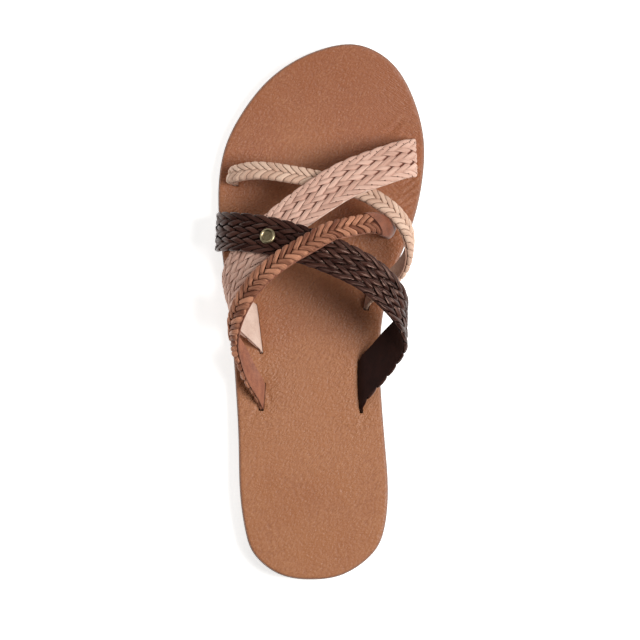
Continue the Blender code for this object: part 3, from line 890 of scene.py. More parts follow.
@dataclass(frozen=True)
class OpalAcrylic:
    """Sanded opal acrylic of a light table, lit faintly from below: matt, even and without a grain to see."""

    name: str = "opal_acrylic_light_table"
    face: str = "#ECECEB"
    roughness: float = 0.95
    shine: float = 0.1
    glow: float = 0.8
    sanding: float = 2.5 * MM
    relief: float = 0.1 * MM
    relief_share: float = 0.04

    @cached_property
    def material(self) -> Material:
        """The material, which reads Object coordinates.

        Returns:
            The material.
        """
        face = linear(self.face)
        acrylic = Recipe(
            self.name, Base_Color=face, Roughness=self.roughness, Specular_IOR_Level=self.shine,
            Emission_Color=face, Emission_Strength=self.glow)
        spot = acrylic.add("TexCoord").outputs["Object"]
        sanding = acrylic.add("TexNoise", spot, Scale=1 / self.sanding)
        bump = acrylic.add("Bump", Height=sanding, Strength=self.relief_share, Distance=self.relief)
        return acrylic.finished(Normal=bump)


Leather = BraidLeather | LiningLeather | InsoleLeather
Finish = Leather | MouldedRubber | AntiqueBrass | WaxedThread | OpalAcrylic


def put_in(name: str, mesh: BMesh) -> Object:
    """Put a mesh into the scene as an object at the origin, and free it.

    Args:
        name: The object's name.
        mesh: Its mesh.

    Returns:
        The new object.
    """
    data = bpy.data.meshes.new(name)
    mesh.to_mesh(data)
    mesh.free()
    item = bpy.data.objects.new(name, data)
    bpy.context.scene.collection.objects.link(item)
    return item


def dressed(name: str, mesh: BMesh, finish: Finish) -> Object:
    """Put a mesh into the scene with its finish, shaded smooth where it is round.

    Args:
        name: The object's name.
        mesh: Its mesh, which is freed.
        finish: Its finish.

    Returns:
        The new object.
    """
    item = put_in(name, mesh)
    item.data.shade_smooth()
    item.data.set_sharp_from_angle(angle=SHARP_FROM)
    item.data.materials.append(finish.material)
    return item


def hand_in(piece: Object, node: str) -> None:
    """Let a piece ride on the sandal in place of a node of the part, and log it.

    Args:
        piece: The finished piece.
        node: The node that it stands for.
    """
    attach(piece, BODY)
    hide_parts(node)
    LOG.info("%s: %d faces", piece.name, len(piece.data.polygons))


def set_attribute(data: Mesh, name: str, values: Array) -> None:
    """Store a number, or a row of three, on each vertex of a mesh."""
    kind, key = ("FLOAT", "value") if values.ndim == 1 else ("FLOAT_VECTOR", "vector")
    data.attributes.new(name, kind, "POINT").data.foreach_set(key, values.astype(np.float32).ravel())


class Rods:
    """Straight closed rods of the same make, joined in one mesh, ready to be bent into strands.

    For each vertex, `rod` is its rod's number, `gone` the share of the rod's length before it, and `turn` its
    angle round the rod.
    """

    def __init__(self, count: int, sides: int, stations: int) -> None:
        """Make the rods.

        Args:
            count: How many rods.
            sides: Faces round each rod.
            stations: Stretches along each rod.
        """
        rod = bmesh.new()
        bmesh.ops.create_cone(rod, cap_ends=True, segments=sides, radius1=1, radius2=1, depth=1)
        long_edges = [edge for edge in rod.edges if abs(edge.verts[0].co.z - edge.verts[1].co.z) > 0.5]
        bmesh.ops.subdivide_edges(rod, edges=long_edges, cuts=stations - 1)
        places = np.array([vertex.co for vertex in rod.verts])
        one = bpy.data.meshes.new("rod")
        rod.to_mesh(one)
        rod.free()
        self.mesh = bmesh.new()
        for _ in range(count):
            self.mesh.from_mesh(one)
        bpy.data.meshes.remove(one)
        self.gone = np.tile(places[:, 2] + 0.5, count)
        self.turn = np.tile(np.arctan2(places[:, 1], places[:, 0]), count)
        self.rod = np.repeat(np.arange(count), len(places))

    def section(self, squareness: float) -> tuple[Array, Array]:
        """Shares of a section's half width and half thickness at each vertex, round at a squareness of 2."""
        return tuple(signed_power(wave(self.turn), 2 / squareness) for wave in (np.cos, np.sin))


@dataclass(frozen=True)
class Braid:
    """A flat braid of an odd number of laces that zigzag from edge to edge, over two and under two.

    A lace's progress is counted in crossings. It meets one other lace at every whole number, and at every
    multiple of the number of laces it rolls over the strap's edge, from the under layer to the upper one.
    `fill` is the share of its room that a lace takes up, `edge_ease` how much squarer it meets the edge,
    `scallop` how far each roll bulges, and `leaf` how much a lace narrows at the ends of each stretch,
    `plunge` half the way that a lace takes to change layers, `dip` how early it ducks under the next one,
    `late` how much later the laces of every other transit come up again, which leaves small gaps beside them,
    `twist` how far it may lean to one side, and `outline` how much its sides are darkened: partly the raw
    edge's own colour, partly painted shade in the gaps between laces.
    """

    laces: int
    pitch: float
    thickness: float
    half_width: float
    fill: float = 0.93
    edge_ease: float = 0.0
    scallop: float = 0.25 * MM
    pillow: float = 0.12 * MM
    leaf: float = 0.0
    dome: float = 0.0
    squareness: float = 3.5
    plunge: float = 0.25
    dip: float = 0.12
    late: float = 0.0
    sides: int = 12
    stations_per_crossing: int = 6
    unevenness: float = 0.12 * MM
    twist: float = 0.05 * MM
    outline: float = 0.6
    seed: int = 1

    LEAD_IN = 20
    FIRST_CHANGE = 2.5
    ROLL_STATIONS = 3
    END_EASE = 9 * MM
    CROWN_SHIFT = 0.3
    SIDE_FLATTENING = 0.6
    SIDE_SHADE_POWER = 8
    TURN_SPARE = 0.001
    CHANCES = 4096
    STRETCH_STEP, LACE_STEP = 31, 131

    def roll_reach(self) -> float:
        """Crossings on each side of a turn within which a lace rolls over the edge."""
        side_pace = (2 * self.half_width - self.thickness) / self.laces * (1 + 2 * self.edge_ease)
        return self.thickness / 2 / side_pace

    def stations(self) -> Array:
        """Progress at each station between two turns, closer together where the lace rolls over.

        Returns:
            The progress at each.
        """
        reach = self.roll_reach()
        rolling = np.arange(self.ROLL_STATIONS) * reach / self.ROLL_STATIONS
        flat = np.linspace(reach, self.laces - reach, self.laces * self.stations_per_crossing)
        return np.concatenate([rolling, flat, self.laces - rolling[::-1]])

    def station_number(self, progress: Array) -> Array:
        """Count the stations that a lace has passed.

        Args:
            progress: How far it has come, in crossings.

        Returns:
            The count, with the share of the station that it is in.
        """
        knots = self.stations()
        passed = np.interp(np.mod(progress, self.laces), knots, np.arange(len(knots)))
        return np.floor(progress / self.laces) * (len(knots) - 1) + passed

    def progress_at(self, number: Array) -> Array:
        """How far a lace has come after so many stations.

        Args:
            number: Stations passed.

        Returns:
            The progress in crossings.
        """
        knots = self.stations()
        gone = np.interp(np.mod(number, len(knots) - 1), np.arange(len(knots)), knots)
        return np.floor(number / (len(knots) - 1)) * self.laces + gone

    def bounds(self) -> list[float]:
        """Where a lace changes between over and under, in crossings since its last turn."""
        changes = [self.FIRST_CHANGE + 2 * i for i in range((self.laces - 1) // 2 - 1)]
        return [0.0] + changes + [float(self.laces)]

    def level(self, since: Array, going: Array) -> Array:
        """How high a lace runs between its turns.

        Args:
            since: Crossings since its last turn.
            going: 1 for a lace on its way to the outer edge, -1 on its way back.

        Returns:
            Levels from -1, under, to 1, over.
        """
        level = np.ones_like(since)
        for i, bound in enumerate(self.bounds()[1:-1]):
            way = -1 if i % 2 == 0 else 1
            change = bound + way * self.dip + np.where((way > 0) & (going < 0), self.late, 0.0)
            level += 2 * way * smooth_step((since - change) / (2 * self.plunge) + 0.5)
        return level

    def stretches(self, since: Array) -> tuple[Array, Array, Array]:
        """Which stretch between two changes a lace is in.

        Args:
            since: Crossings since its last turn.

        Returns:
            Numbers of the stretches, how full the lace is there and how high it crowns, each 0 to 1.
        """
        bounds = self.bounds()
        number = np.clip(np.searchsorted(np.array(bounds), since, side="right"), 1, len(bounds) - 1)
        full, crown = np.zeros_like(since), np.zeros_like(since)
        for i, (start, end) in enumerate(zip(bounds, bounds[1:]), 1):
            share = np.clip((since - start) / (end - start), 0, 1)
            whole = high = np.sin(np.pi * share)
            if i == 1:
                whole = np.cos(np.pi / 2 * share)
                high = np.sin(np.pi * (share + self.CROWN_SHIFT) / (1 + self.CROWN_SHIFT))
            elif i == len(bounds) - 1:
                whole = np.sin(np.pi / 2 * share)
                high = np.sin(np.pi * share / (1 + self.CROWN_SHIFT))
            full = np.where(number == i, whole, full)
            crown = np.where(number == i, high, crown)
        return number, full, crown

    def build(self, strap: "Strap") -> None:
        """Braid the laces over a strap.

        Args:
            strap: The strap.
        """
        start, end = strap.surface.runs[0], strap.surface.runs[-1]
        firsts = 2 * (start / self.pitch + np.arange(self.laces)) + self.LEAD_IN * self.laces
        low = self.station_number(firsts)
        high = self.station_number(firsts + 2 * (end - start) / self.pitch)
        rods = Rods(self.laces, self.sides, round(float(np.mean(high - low))))
        progress = self.progress_at(low[rods.rod] + rods.gone * (high - low)[rods.rod])
        run = start + (progress - firsts[rods.rod]) * self.pitch / 2
        transit = np.floor(progress / self.laces)
        since = progress - transit * self.laces
        to_edge = np.minimum(since, self.laces - since)
        going = np.where(np.mod(transit, 2) == 0, 1.0, -1.0)
        weight = going * (1 - 2 * since / self.laces)
        side = np.where(weight < 0, -1.0, 1.0)
        roll = np.pi / 2 * np.minimum(to_edge / self.roll_reach(), 1)
        upright = np.sin(roll)
        outward = np.cos(roll) * np.where(since < self.laces / 2, 1.0, -1.0)
        flat_half = self.half_width - self.thickness / 2
        spread = np.abs(weight) * (1 - self.edge_ease + self.edge_ease * weight ** 2) * flat_half
        rolled = self.half_width - self.thickness + self.thickness / 2 * np.cos(roll)
        across = np.where(roll < np.pi / 2, rolled, spread)

        share, body = rods.section(self.squareness)
        body = body * going
        _, full, crown = self.stretches(since)
        width = self.fill * (1 - self.leaf * (1 - full))
        seen = np.clip(since + share * width / 2, self.TURN_SPARE, self.laces - self.TURN_SPARE)
        number, _, _ = self.stretches(seen)
        level = self.level(seen, going)
        chances = np.random.default_rng(self.seed).uniform(0, 1, (2, self.CHANCES))
        stretch = (transit * len(self.bounds()) + number).astype(int)
        tone, lean = chances[:, np.mod(stretch * self.STRETCH_STEP + rods.rod * self.LACE_STEP, self.CHANCES)]

        ends = strap.surface.freed(run, self.END_EASE)
        run = run + share * width * self.pitch / 2
        bulge = self.scallop * share ** 2 * np.exp(-to_edge ** 2)
        aside = side * (across - bulge + outward * body * self.thickness / 2)
        lift = strap.lining.thickness / 2 + (level * upright + body * upright) * self.thickness / 2
        raised = self.pillow * crown * (1 - self.SIDE_FLATTENING * share ** 2)
        raised += self.unevenness * (tone - 0.5) + 2 * self.twist * (lean - 0.5) * share
        lift += ends * raised * np.clip(level, 0, 1) * upright
        lift -= ends * self.dome * (aside / self.half_width) ** 2
        side_step = 2 * self.half_width / self.laces
        path_step = math.hypot(self.pitch / 2, side_step)
        offset = share * width * self.pitch / 2 * side_step / path_step
        # `rise` says how far each bit of lace faces up on top: low at its sides and where it dips under the
        # next lace, where the leather paints shade in the gaps between laces
        shown = np.clip(body * (level * upright + outward), -1, 1)
        shown = shown - self.outline * np.abs(share) ** self.SIDE_SHADE_POWER
        fibre = np.column_stack([progress * path_step, offset, tone])
        strap.lay("strands", rods, (run, aside, lift), strap.leather, fibre=fibre, rise=shown)


@dataclass(frozen=True)
class Lining:
    """The plain leather strip under a braid."""

    half_width: float
    thickness: float
    leather: LiningLeather
    squareness: float = 8.0
    spread: float = 0.8
    sides: int = 24
    stations: int = 150

    def build(self, strap: "Strap") -> None:
        """Lay the strip along the underside of a strap.

        Args:
            strap: The strap.
        """
        rods = Rods(1, self.sides, self.stations)
        start, end = strap.surface.runs[0], strap.surface.runs[-1]
        run = start + rods.gone * (end - start)
        share = signed_power(np.cos(rods.turn), self.spread)
        edge = (1 - np.abs(share) ** self.squareness) ** (1 / self.squareness)
        hang = strap.surface.freed(run, Braid.END_EASE) * strap.braid.dome * share ** 2
        seat = -strap.wall / 2 + self.thickness / 2
        lift = seat + np.sign(np.sin(rods.turn)) * edge * self.thickness / 2 - hang
        places = (run, share * self.half_width, lift)
        strap.lay("lining", rods, places, self.leather, fibre=np.column_stack(places))


@dataclass(frozen=True)
class Tip:
    """The smooth leather that is folded round the laces where a strap goes into its first slot."""

    leather: LiningLeather
    length: float = 32 * MM
    slant: float = 4.5 * MM
    half_width: float = 5.0 * MM
    rise: float = 1.7 * MM
    puff: float = 0.8 * MM
    squareness: float = 3.4
    sides: int = 36
    stations: int = 40

    def build(self, strap: "Strap") -> None:
        """Fold the leather round a strap's first end.

        Args:
            strap: The strap.
        """
        rods = Rods(1, self.sides, self.stations)
        share, body = rods.section(self.squareness)
        start = strap.surface.runs[0]
        run = start + rods.gone * (self.length + self.slant * share - start)
        bottom = -strap.wall / 2
        ends = strap.surface.freed(run, Braid.END_EASE)
        top = self.rise + ends * self.puff
        lift = (top + bottom) / 2 + body * (top - bottom) / 2 - ends * strap.braid.dome * share ** 2
        places = (run, share * self.half_width, lift)
        strap.lay("tip", rods, places, self.leather, fibre=np.column_stack(places))


@dataclass(frozen=True)
class Stitching:
    """A row of short sunk stitches along each edge of a strap, which hold the braid to its lining."""

    spacings: tuple[float, float] = (3.4 * MM, 6.8 * MM)
    inset: float = 1.9 * MM
    length: float = 0.8 * MM
    radius: float = 0.34 * MM
    sides: int = 6
    stations: int = 4
    thread: WaxedThread = field(default_factory=WaxedThread)

    def build(self, strap: "Strap") -> None:
        """Sew both rows.

        Args:
            strap: The strap.
        """
        counts = [int(strap.surface.length // spacing) for spacing in self.spacings]
        rods = Rods(sum(counts), self.sides, self.stations)
        row = np.where(rods.rod < counts[0], 1.0, -1.0)
        middle = np.where(row > 0, (rods.rod + 0.5) * self.spacings[0],
                          (rods.rod - counts[0] + 0.5) * self.spacings[1])
        from_middle = rods.gone - 0.5
        aside = row * (strap.braid.half_width - self.inset) + np.cos(rods.turn) * self.radius
        arch = (1 - 4 * from_middle ** 2) * self.radius
        top = strap.lining.thickness / 2 + strap.braid.thickness
        lift = top + arch - self.radius + np.sin(rods.turn) * self.radius
        strap.lay("stitches", rods, (middle + from_middle * self.length, aside, lift), self.thread)


@dataclass(frozen=True)
class Fraying:
    """Loose fibres that stand out from a strap's edges, where the laces are rolled over."""

    count: int = 90
    span: tuple[float, float] = (0.06, 0.94)
    length: float = 1.3 * MM
    shortest: float = 0.35
    radius: float = 0.07 * MM
    taper: float = 0.8
    splay: float = 0.6 * MM
    palest: float = 0.5
    sides: int = 5
    stations: int = 4
    seed: int = 21

    def build(self, strap: "Strap") -> None:
        """Let the fibres stand out from both edges.

        Args:
            strap: The strap.
        """
        rods = Rods(self.count, self.sides, self.stations)
        chance = np.random.default_rng(self.seed)
        place_along = chance.uniform(*self.span, self.count)[rods.rod] * strap.surface.length
        row = chance.choice([-1.0, 1.0], self.count)[rods.rod]
        reach = chance.uniform(self.shortest, 1.0, self.count)[rods.rod] * self.length
        lean = chance.normal(0, 1, self.count)[rods.rod] * self.length / 2
        height = chance.normal(0, 1, self.count)[rods.rod] * self.splay / 2
        slim = self.radius * (1 - self.taper * rods.gone)
        run = place_along + rods.gone * lean + np.cos(rods.turn) * slim
        root = strap.braid.half_width - 0.5 * self.length
        aside = row * (root + (0.5 * self.length + 0.5 * reach) * rods.gone)
        lift = rods.gone * height + np.sin(rods.turn) * slim
        fibre = np.column_stack([aside, run, chance.uniform(self.palest, 1, len(run))])
        strap.lay("fibres", rods, (run, aside, lift), strap.leather, fibre=fibre, rise=np.ones(len(run)))


@dataclass
class Strap:
    """A braided strap with its lining."""

    kind: StrapKind
    width: float
    wall: float
    leather: BraidLeather
    braid: Braid
    lining: Lining
    squeeze: float = 0.55
    fraying: Fraying | None = None
    tip: Tip | None = None
    stitching: Stitching | None = None
    surface: StrapSurface = field(init=False)

    def __post_init__(self) -> None:
        """Lay the strap's surface over the foot form."""
        self.surface = StrapSurface(ROUTES[self.kind], self.width, self.wall, self.squeeze)

    def build(self) -> None:
        """Build the strap's pieces."""
        for part in (self.braid, self.lining, self.fraying, self.tip, self.stitching):
            if part:
                part.build(self)

    def lay(self, part: str, rods: Rods, places: tuple[Array, ...], finish: Finish, **marks: Array) -> None:
        """Bend rods along the strap into a piece that stands for the strap's node.

        Args:
            part: What the piece is.
            rods: The rods.
            places: Where each vertex lies in the strap: run, aside and lift.
            finish: The piece's finish.
            marks: What its finish reads at each vertex, by the attribute's name.
        """
        for vertex, point in zip(rods.mesh.verts, self.surface.bend(*places)):
            vertex.co = point
        bmesh.ops.recalc_face_normals(rods.mesh, faces=rods.mesh.faces)
        name = self.kind.value
        piece = dressed(f"{name}_{part}", rods.mesh, finish)
        for key, values in marks.items():
            set_attribute(piece.data, key, values)
        hand_in(piece, f"{name}_strap")


def make_straps() -> list[Strap]:
    """The four straps with their sizes and finishes.

    Returns:
        The straps.
    """
    natural = Strap(
        StrapKind.NATURAL, 9.4 * MM, 3.0 * MM,
        BraidLeather("undyed_laced_leather", "#DEC0AA", "#BC9782", "#7A4E3A", 0.6, glint="#F0CFB8",
                     tone_share=0.35),
        Braid(5, 3.7 * MM, 1.1 * MM, 4.25 * MM, fill=0.94, edge_ease=0.25, scallop=0.12 * MM, late=0.14,
              pillow=0.25 * MM, leaf=0.05, dome=0.7 * MM, stations_per_crossing=8, outline=0.2, seed=3),
        Lining(4.0 * MM, 0.6 * MM, LiningLeather("undyed_lining_leather", "#BE9884", "#98705C")),
        squeeze=0.8, fraying=Fraying())
    blush = Strap(
        StrapKind.BLUSH, 18.2 * MM, 2.4 * MM,
        BraidLeather("blush_laced_leather", "#D6B19F", "#B48B7A", "#643020", 0.58, glint="#F0CAB8",
                     tone_share=0.35),
        Braid(13, 6.8 * MM, 0.9 * MM, 8.95 * MM, fill=0.965, scallop=0.3 * MM, leaf=0.03,
              pillow=0.16 * MM, dip=0.02, late=0.36, twist=0.1 * MM, outline=0.0, seed=5),
        Lining(8.85 * MM, 0.5 * MM, LiningLeather("pale_lining_leather", "#E0C6B6", "#C9AA99")),
        stitching=Stitching())
    dark = Strap(
        StrapKind.DARK, 18.4 * MM, 2.4 * MM,
        BraidLeather("dark_laced_leather", "#462C25", "#281411", "#080302", 0.29, gloss_spread=0.17,
                     shine=0.42, glint="#ECC4B2", crease=0.42),
        Braid(13, 6.7 * MM, 0.9 * MM, 9.05 * MM, fill=0.9, scallop=0.35 * MM, leaf=0.03,
              pillow=0.16 * MM, dip=0.18, twist=0.26 * MM, outline=0.9, seed=7),
        Lining(8.5 * MM, 0.5 * MM, LiningLeather("dark_lining_leather", "#2A130E", "#1C0B08", sheen=0.0)))
    tan = Strap(
        StrapKind.TAN, 10.6 * MM, 3.0 * MM,
        BraidLeather("tan_laced_leather", "#B88064", "#6C4030", "#54291A", 0.55, gloss_spread=0.12,
                     shine=0.28, glint="#F0C4A8", tone_share=0.5, streak=0.4),
        Braid(5, 3.9 * MM, 1.2 * MM, 4.8 * MM, fill=0.95, edge_ease=0.15, scallop=0.5 * MM,
              pillow=0.4 * MM, leaf=0.16, dome=0.8 * MM, squareness=2.8, stations_per_crossing=8,
              unevenness=0.6 * MM, twist=0.22 * MM, late=0.1, outline=0.1, seed=11),
        Lining(4.5 * MM, 0.6 * MM,
               LiningLeather("tan_lining_leather", "#A66C52", "#7E4C3B", 0.6, cloud=4 * MM)),
        squeeze=0.7, tip=Tip(LiningLeather("folded_tan_leather", "#985B42", "#6E4230", 0.5, cloud=5 * MM)))
    return [natural, blush, dark, tan]


class Level(NamedTuple):
    """A ring of a sole layer: how far it is drawn in from the outline, and its height over a face."""

    inset: float
    height: float


def rounded_rim(start: float, reach: float, steps: int) -> tuple[Level, ...]:
    """Levels that round a face's edge over with a radius of `reach`, down to a side `start` in."""
    turns = [math.pi / 2 * i / (steps - 1) for i in range(steps)]
    return tuple(Level(start + reach * (1 - math.sin(t)), -reach * (1 - math.cos(t))) for t in turns)


def corner_order(part: BMEdge | BMFace) -> int:
    """A number that no other part of a spun or extruded mesh has, from its first and last corner."""
    corners = [vertex.index for vertex in part.verts]
    return min(corners) * MOST_CORNERS + max(corners)


def settle(mesh: BMesh) -> None:
    """Sort a mesh's edges and faces, which spin and extrude leave in another order each run.

    Args:
        mesh: The mesh.
    """
    mesh.verts.index_update()
    for parts in (mesh.edges, mesh.faces):
        parts.sort(key=corner_order)


def full_spin(mesh: BMesh, column: list[BMVert], steps: int) -> None:
    """Join a column of vertices by edges and spin it a full turn round the Z axis.

    Args:
        mesh: The mesh.
        column: The vertices, in order.
        steps: Stretches round.
    """
    edges = [mesh.edges.new(pair) for pair in zip(column, column[1:])]
    bmesh.ops.spin(mesh, geom=column + edges, axis=(0, 0, 1), cent=(0, 0, 0), dvec=(0, 0, 0),
                   angle=2 * math.pi, steps=steps, use_merge=True)
    settle(mesh)


@dataclass
class SoleLayer:
    """A closed layer with the sole's outline: a spun column of rings drawn out to it, a pole on each face."""

    lower_rim: tuple[Level, ...]
    upper_rim: tuple[Level, ...]
    around: int
    upper_rings: int
    lower_rings: int = 30
    centre: tuple[float, float] = (0.56 * LENGTH, 0.0)

    def build(self, bottom_at: Callable[[Array], Array], top_at: Callable[[Array], Array]) -> BMesh:
        """Shape the layer.

        Args:
            bottom_at: Reads the height of the lower face at distances from the heel.
            top_at: Reads the height of the upper face.

        Returns:
            The layer's closed mesh.
        """
        outline, inward = SOLE.outline(self.around)
        halves = []
        for face, rim, count in ((top_at, self.upper_rim, self.upper_rings),
                                 (bottom_at, self.lower_rim[::-1], self.lower_rings)):
            reach = outline + inward * rim[0].inset - self.centre
            rings = [(self.centre + reach * i / (count + 1), 0.0) for i in range(count + 1)]
            rings += [(outline + inward * level.inset, level.height) for level in rim]
            halves.append([place(*ring.T, face(ring[:, 0]) + height) for ring, height in rings])
        rows = halves[0] + halves[1][::-1]
        mesh = bmesh.new()
        poles = (0, len(rows) - 1)
        full_spin(mesh, [mesh.verts.new((row not in poles, 0, row)) for row in range(len(rows))], self.around)
        at_poles = [vertex for vertex in mesh.verts if round(vertex.co.z) in poles]
        bmesh.ops.remove_doubles(mesh, verts=at_poles, dist=0.1)
        for vertex in mesh.verts:
            x, y, z = vertex.co
            vertex.co = rows[round(z)][round(math.atan2(y, x) / (2 * math.pi) * self.around) % self.around]
        bmesh.ops.recalc_face_normals(mesh, faces=mesh.faces)
        return mesh


def cut_away(item: Object, cutters: list[Object]) -> None:
    """Cut other objects out of one with exact Booleans, and keep the result as its mesh.

    Args:
        item: The object to cut.
        cutters: What is cut out of it.
    """
    for cutter in cutters:
        boolean = item.modifiers.new(cutter.name, "BOOLEAN")
        boolean.operation = "DIFFERENCE"
        boolean.solver = "EXACT"
        boolean.object = cutter
    shaped = item.evaluated_get(bpy.context.evaluated_depsgraph_get())
    cut_mesh = bpy.data.meshes.new_from_object(shaped)
    item.modifiers.clear()
    old = item.data
    item.data = cut_mesh
    bpy.data.meshes.remove(old)
    item.data.name = item.name
    item.data.set_sharp_from_angle(angle=SHARP_FROM)


class Slots:
    """The slots that the strap ends go through, cut close round the straps."""

    SPARE_LENGTH = 0.12 * MM
    SPARE_WIDTH = 0.1 * MM
    CORNERS = 7
    DEPTH = 5.7 * MM
    HEADROOM = 3.0 * MM
    MARKS = 49

    def __init__(self, straps: list[Strap]) -> None:
        """Find each slot's middle line and how far its walls stand off, and mark the lines closely.

        Args:
            straps: The straps.
        """
        self.lines, marks = [], []
        for strap in straps:
            sheet = strap.surface.sheet
            half = strap.braid.half_width + self.SPARE_LENGTH
            places = np.linspace(-half, half, self.CORNERS) / (strap.width / 2)
            columns = StrapSurface.HALF_COLUMNS * (1 + places)
            reach = strap.squeeze * strap.wall / 2 + self.SPARE_WIDTH
            for row in (sheet[StrapSurface.END_ROWS], sheet[-StrapSurface.END_ROWS - 1]):
                mouth = read_rows(columns, np.arange(len(row)), row)
                line, out = mouth[:, :3], unit(mouth[:, 3:] * (1 - UP))
                self.lines.append((line, out * reach))
                even = np.linspace(0, self.CORNERS - 1, self.MARKS)
                marks.append(read_rows(even, np.arange(self.CORNERS), line[:, :2]))
        self.marks = np.concatenate(marks)

    def cutter(self) -> Object:
        """Upright prisms round the strap ends.

        Returns:
            One object that holds them all.
        """
        mesh = bmesh.new()
        for line, reach in self.lines:
            corners = np.concatenate([line + reach, (line - reach)[::-1]]) - UP * self.DEPTH
            floor = mesh.faces.new([mesh.verts.new(corner) for corner in corners])
            made = bmesh.ops.extrude_face_region(mesh, geom=[floor])
            raised = [item for item in made["geom"] if isinstance(item, BMVert)]
            bmesh.ops.translate(mesh, vec=UP * (self.DEPTH + self.HEADROOM), verts=raised)
        settle(mesh)
        bmesh.ops.recalc_face_normals(mesh, faces=mesh.faces)
        return put_in("slot_cutter", mesh)


class Crease(NamedTuple):
    """A soft trough with a ridge beside it: its middle in mm, its turn in degrees, and its sizes in mm.

    The turn is from lengthwise to the outer side.
    """

    along: float
    across: float
    turn: float
    length: float
    width: float
    depth: float


CREASES = tuple(Crease(*row) for row in (
    (208.5, -35.5, -58, 9, 1.1, 0.4), (210.5, -38.5, -40, 8, 1.0, 0.34), (206.0, -32.5, -72, 10, 1.2, 0.36),
    (206.5, -41.5, -20, 7, 1.0, 0.2), (186.0, -46.2, -48, 8, 0.9, 0.2), (181.8, -45.2, -52, 10, 0.9, 0.24),
    (177.6, -44.5, -55, 11, 0.9, 0.26), (173.6, -43.6, -56, 11, 0.9, 0.26),
    (169.4, -42.4, -58, 10, 0.9, 0.24), (165.2, -41.2, -60, 9, 0.9, 0.22),
    (160.8, -36.5, -66, 10, 1.2, 0.26), (157.2, -38.0, -60, 8, 1.0, 0.22),
    (189.0, 38.8, -48, 7, 1.0, 0.20), (182.6, 39.8, -70, 7, 1.0, 0.20), (102.0, -22.8, -60, 7, 1.0, 0.18),
    (92.0, -23.4, -66, 7, 1.0, 0.18), (76.6, -25.2, -34, 9, 1.1, 0.22), (73.8, -22.4, -16, 9, 1.1, 0.20),
    (76.2, 27.6, -28, 9, 1.1, 0.24), (74.4, 30.4, -52, 8, 1.0, 0.20), (84.0, 20.4, 8, 10, 1.0, 0.18),
    (104.0, 26.6, -40, 8, 1.0, 0.20),
))


@dataclass
class Insole:
    """The leather-covered footbed with the eight slots."""

    side_inset: float = 0.25 * MM
    rounding: float = 1.1 * MM
    lower_edge: tuple[float, float] = (0.2 * MM, 0.4 * MM)
    pinch_depth: float = 0.3 * MM
    pinch_reach: float = 2.6 * MM
    pull_reach: float = 12 * MM
    rim_band: float = 1.1 * MM
    ridge_share: float = 0.7
    ridge_offset: float = 1.5
    rounding_steps: int = 7
    around: int = 640
    upper_rings: int = 84
    leather: InsoleLeather = field(default_factory=InsoleLeather)

    EDGE_MARKS = 1200

    def creased(self, points: Array) -> Array:
        """Depth of the listed creases.

        Args:
            points: Points of the upper face.

        Returns:
            How far each point goes down, or up where it is less than nought.
        """
        along, across = LENGTH / 2 - points[:, 1], points[:, 0] - CENTRE_LINE_X
        depth = np.zeros(len(points))
        for row in CREASES:
            crease = Crease(*np.multiply(row, (MM, MM, math.radians(1), MM, MM, MM)))
            ahead, aside = along - crease.along, across - crease.across
            run = ahead * math.cos(crease.turn) + aside * math.sin(crease.turn)
            off = aside * math.cos(crease.turn) - ahead * math.sin(crease.turn)
            fade = np.exp(-(2 * run / crease.length) ** 4)
            trough = np.exp(-(off / crease.width) ** 2)
            ridge = np.exp(-((off - self.ridge_offset * crease.width) / crease.width) ** 2)
            depth += crease.depth * fade * (trough - self.ridge_share * ridge)
        return depth

    def build(self, slots: Slots, cutter: Object) -> None:
        """Shape the insole, draw its leather in at the slots and cut them.

        Args:
            slots: The slots.
            cutter: The object that cuts them.
        """
        inset, height = self.lower_edge
        lower = (Level(self.side_inset, height), Level(self.side_inset + inset, 0.0))
        upper = rounded_rim(self.side_inset, self.rounding, self.rounding_steps)
        layer = SoleLayer(lower, upper, self.around, self.upper_rings)
        mesh = layer.build(SOLE.insole_bottom, SOLE.insole_top)
        outline, _ = SOLE.outline(self.EDGE_MARKS)
        edge = place(outline[:, 0], outline[:, 1], np.zeros(len(outline)))[:, :2]
        points = np.array([vertex.co for vertex in mesh.verts])
        facing = np.array([vertex.normal.z for vertex in mesh.verts])
        slot_distance = distance_from(slots.marks, points)
        pinch = self.pinch_depth * np.exp(-(slot_distance / self.pinch_reach) ** 2)
        sunk = np.where(facing > 0.5, pinch + self.creased(points), 0.0)
        for vertex, drop in zip(mesh.verts, sunk):
            vertex.co.z -= drop
        piece = dressed("insole_leather", mesh, self.leather)
        off_edge = distance_from(edge, points) - self.side_inset
        set_attribute(piece.data, "rim", 1 - smooth_step(off_edge / self.rim_band))
        set_attribute(piece.data, "pull", np.exp(-(slot_distance / self.pull_reach) ** 2))
        cut_away(piece, [cutter])
        hand_in(piece, "insole")


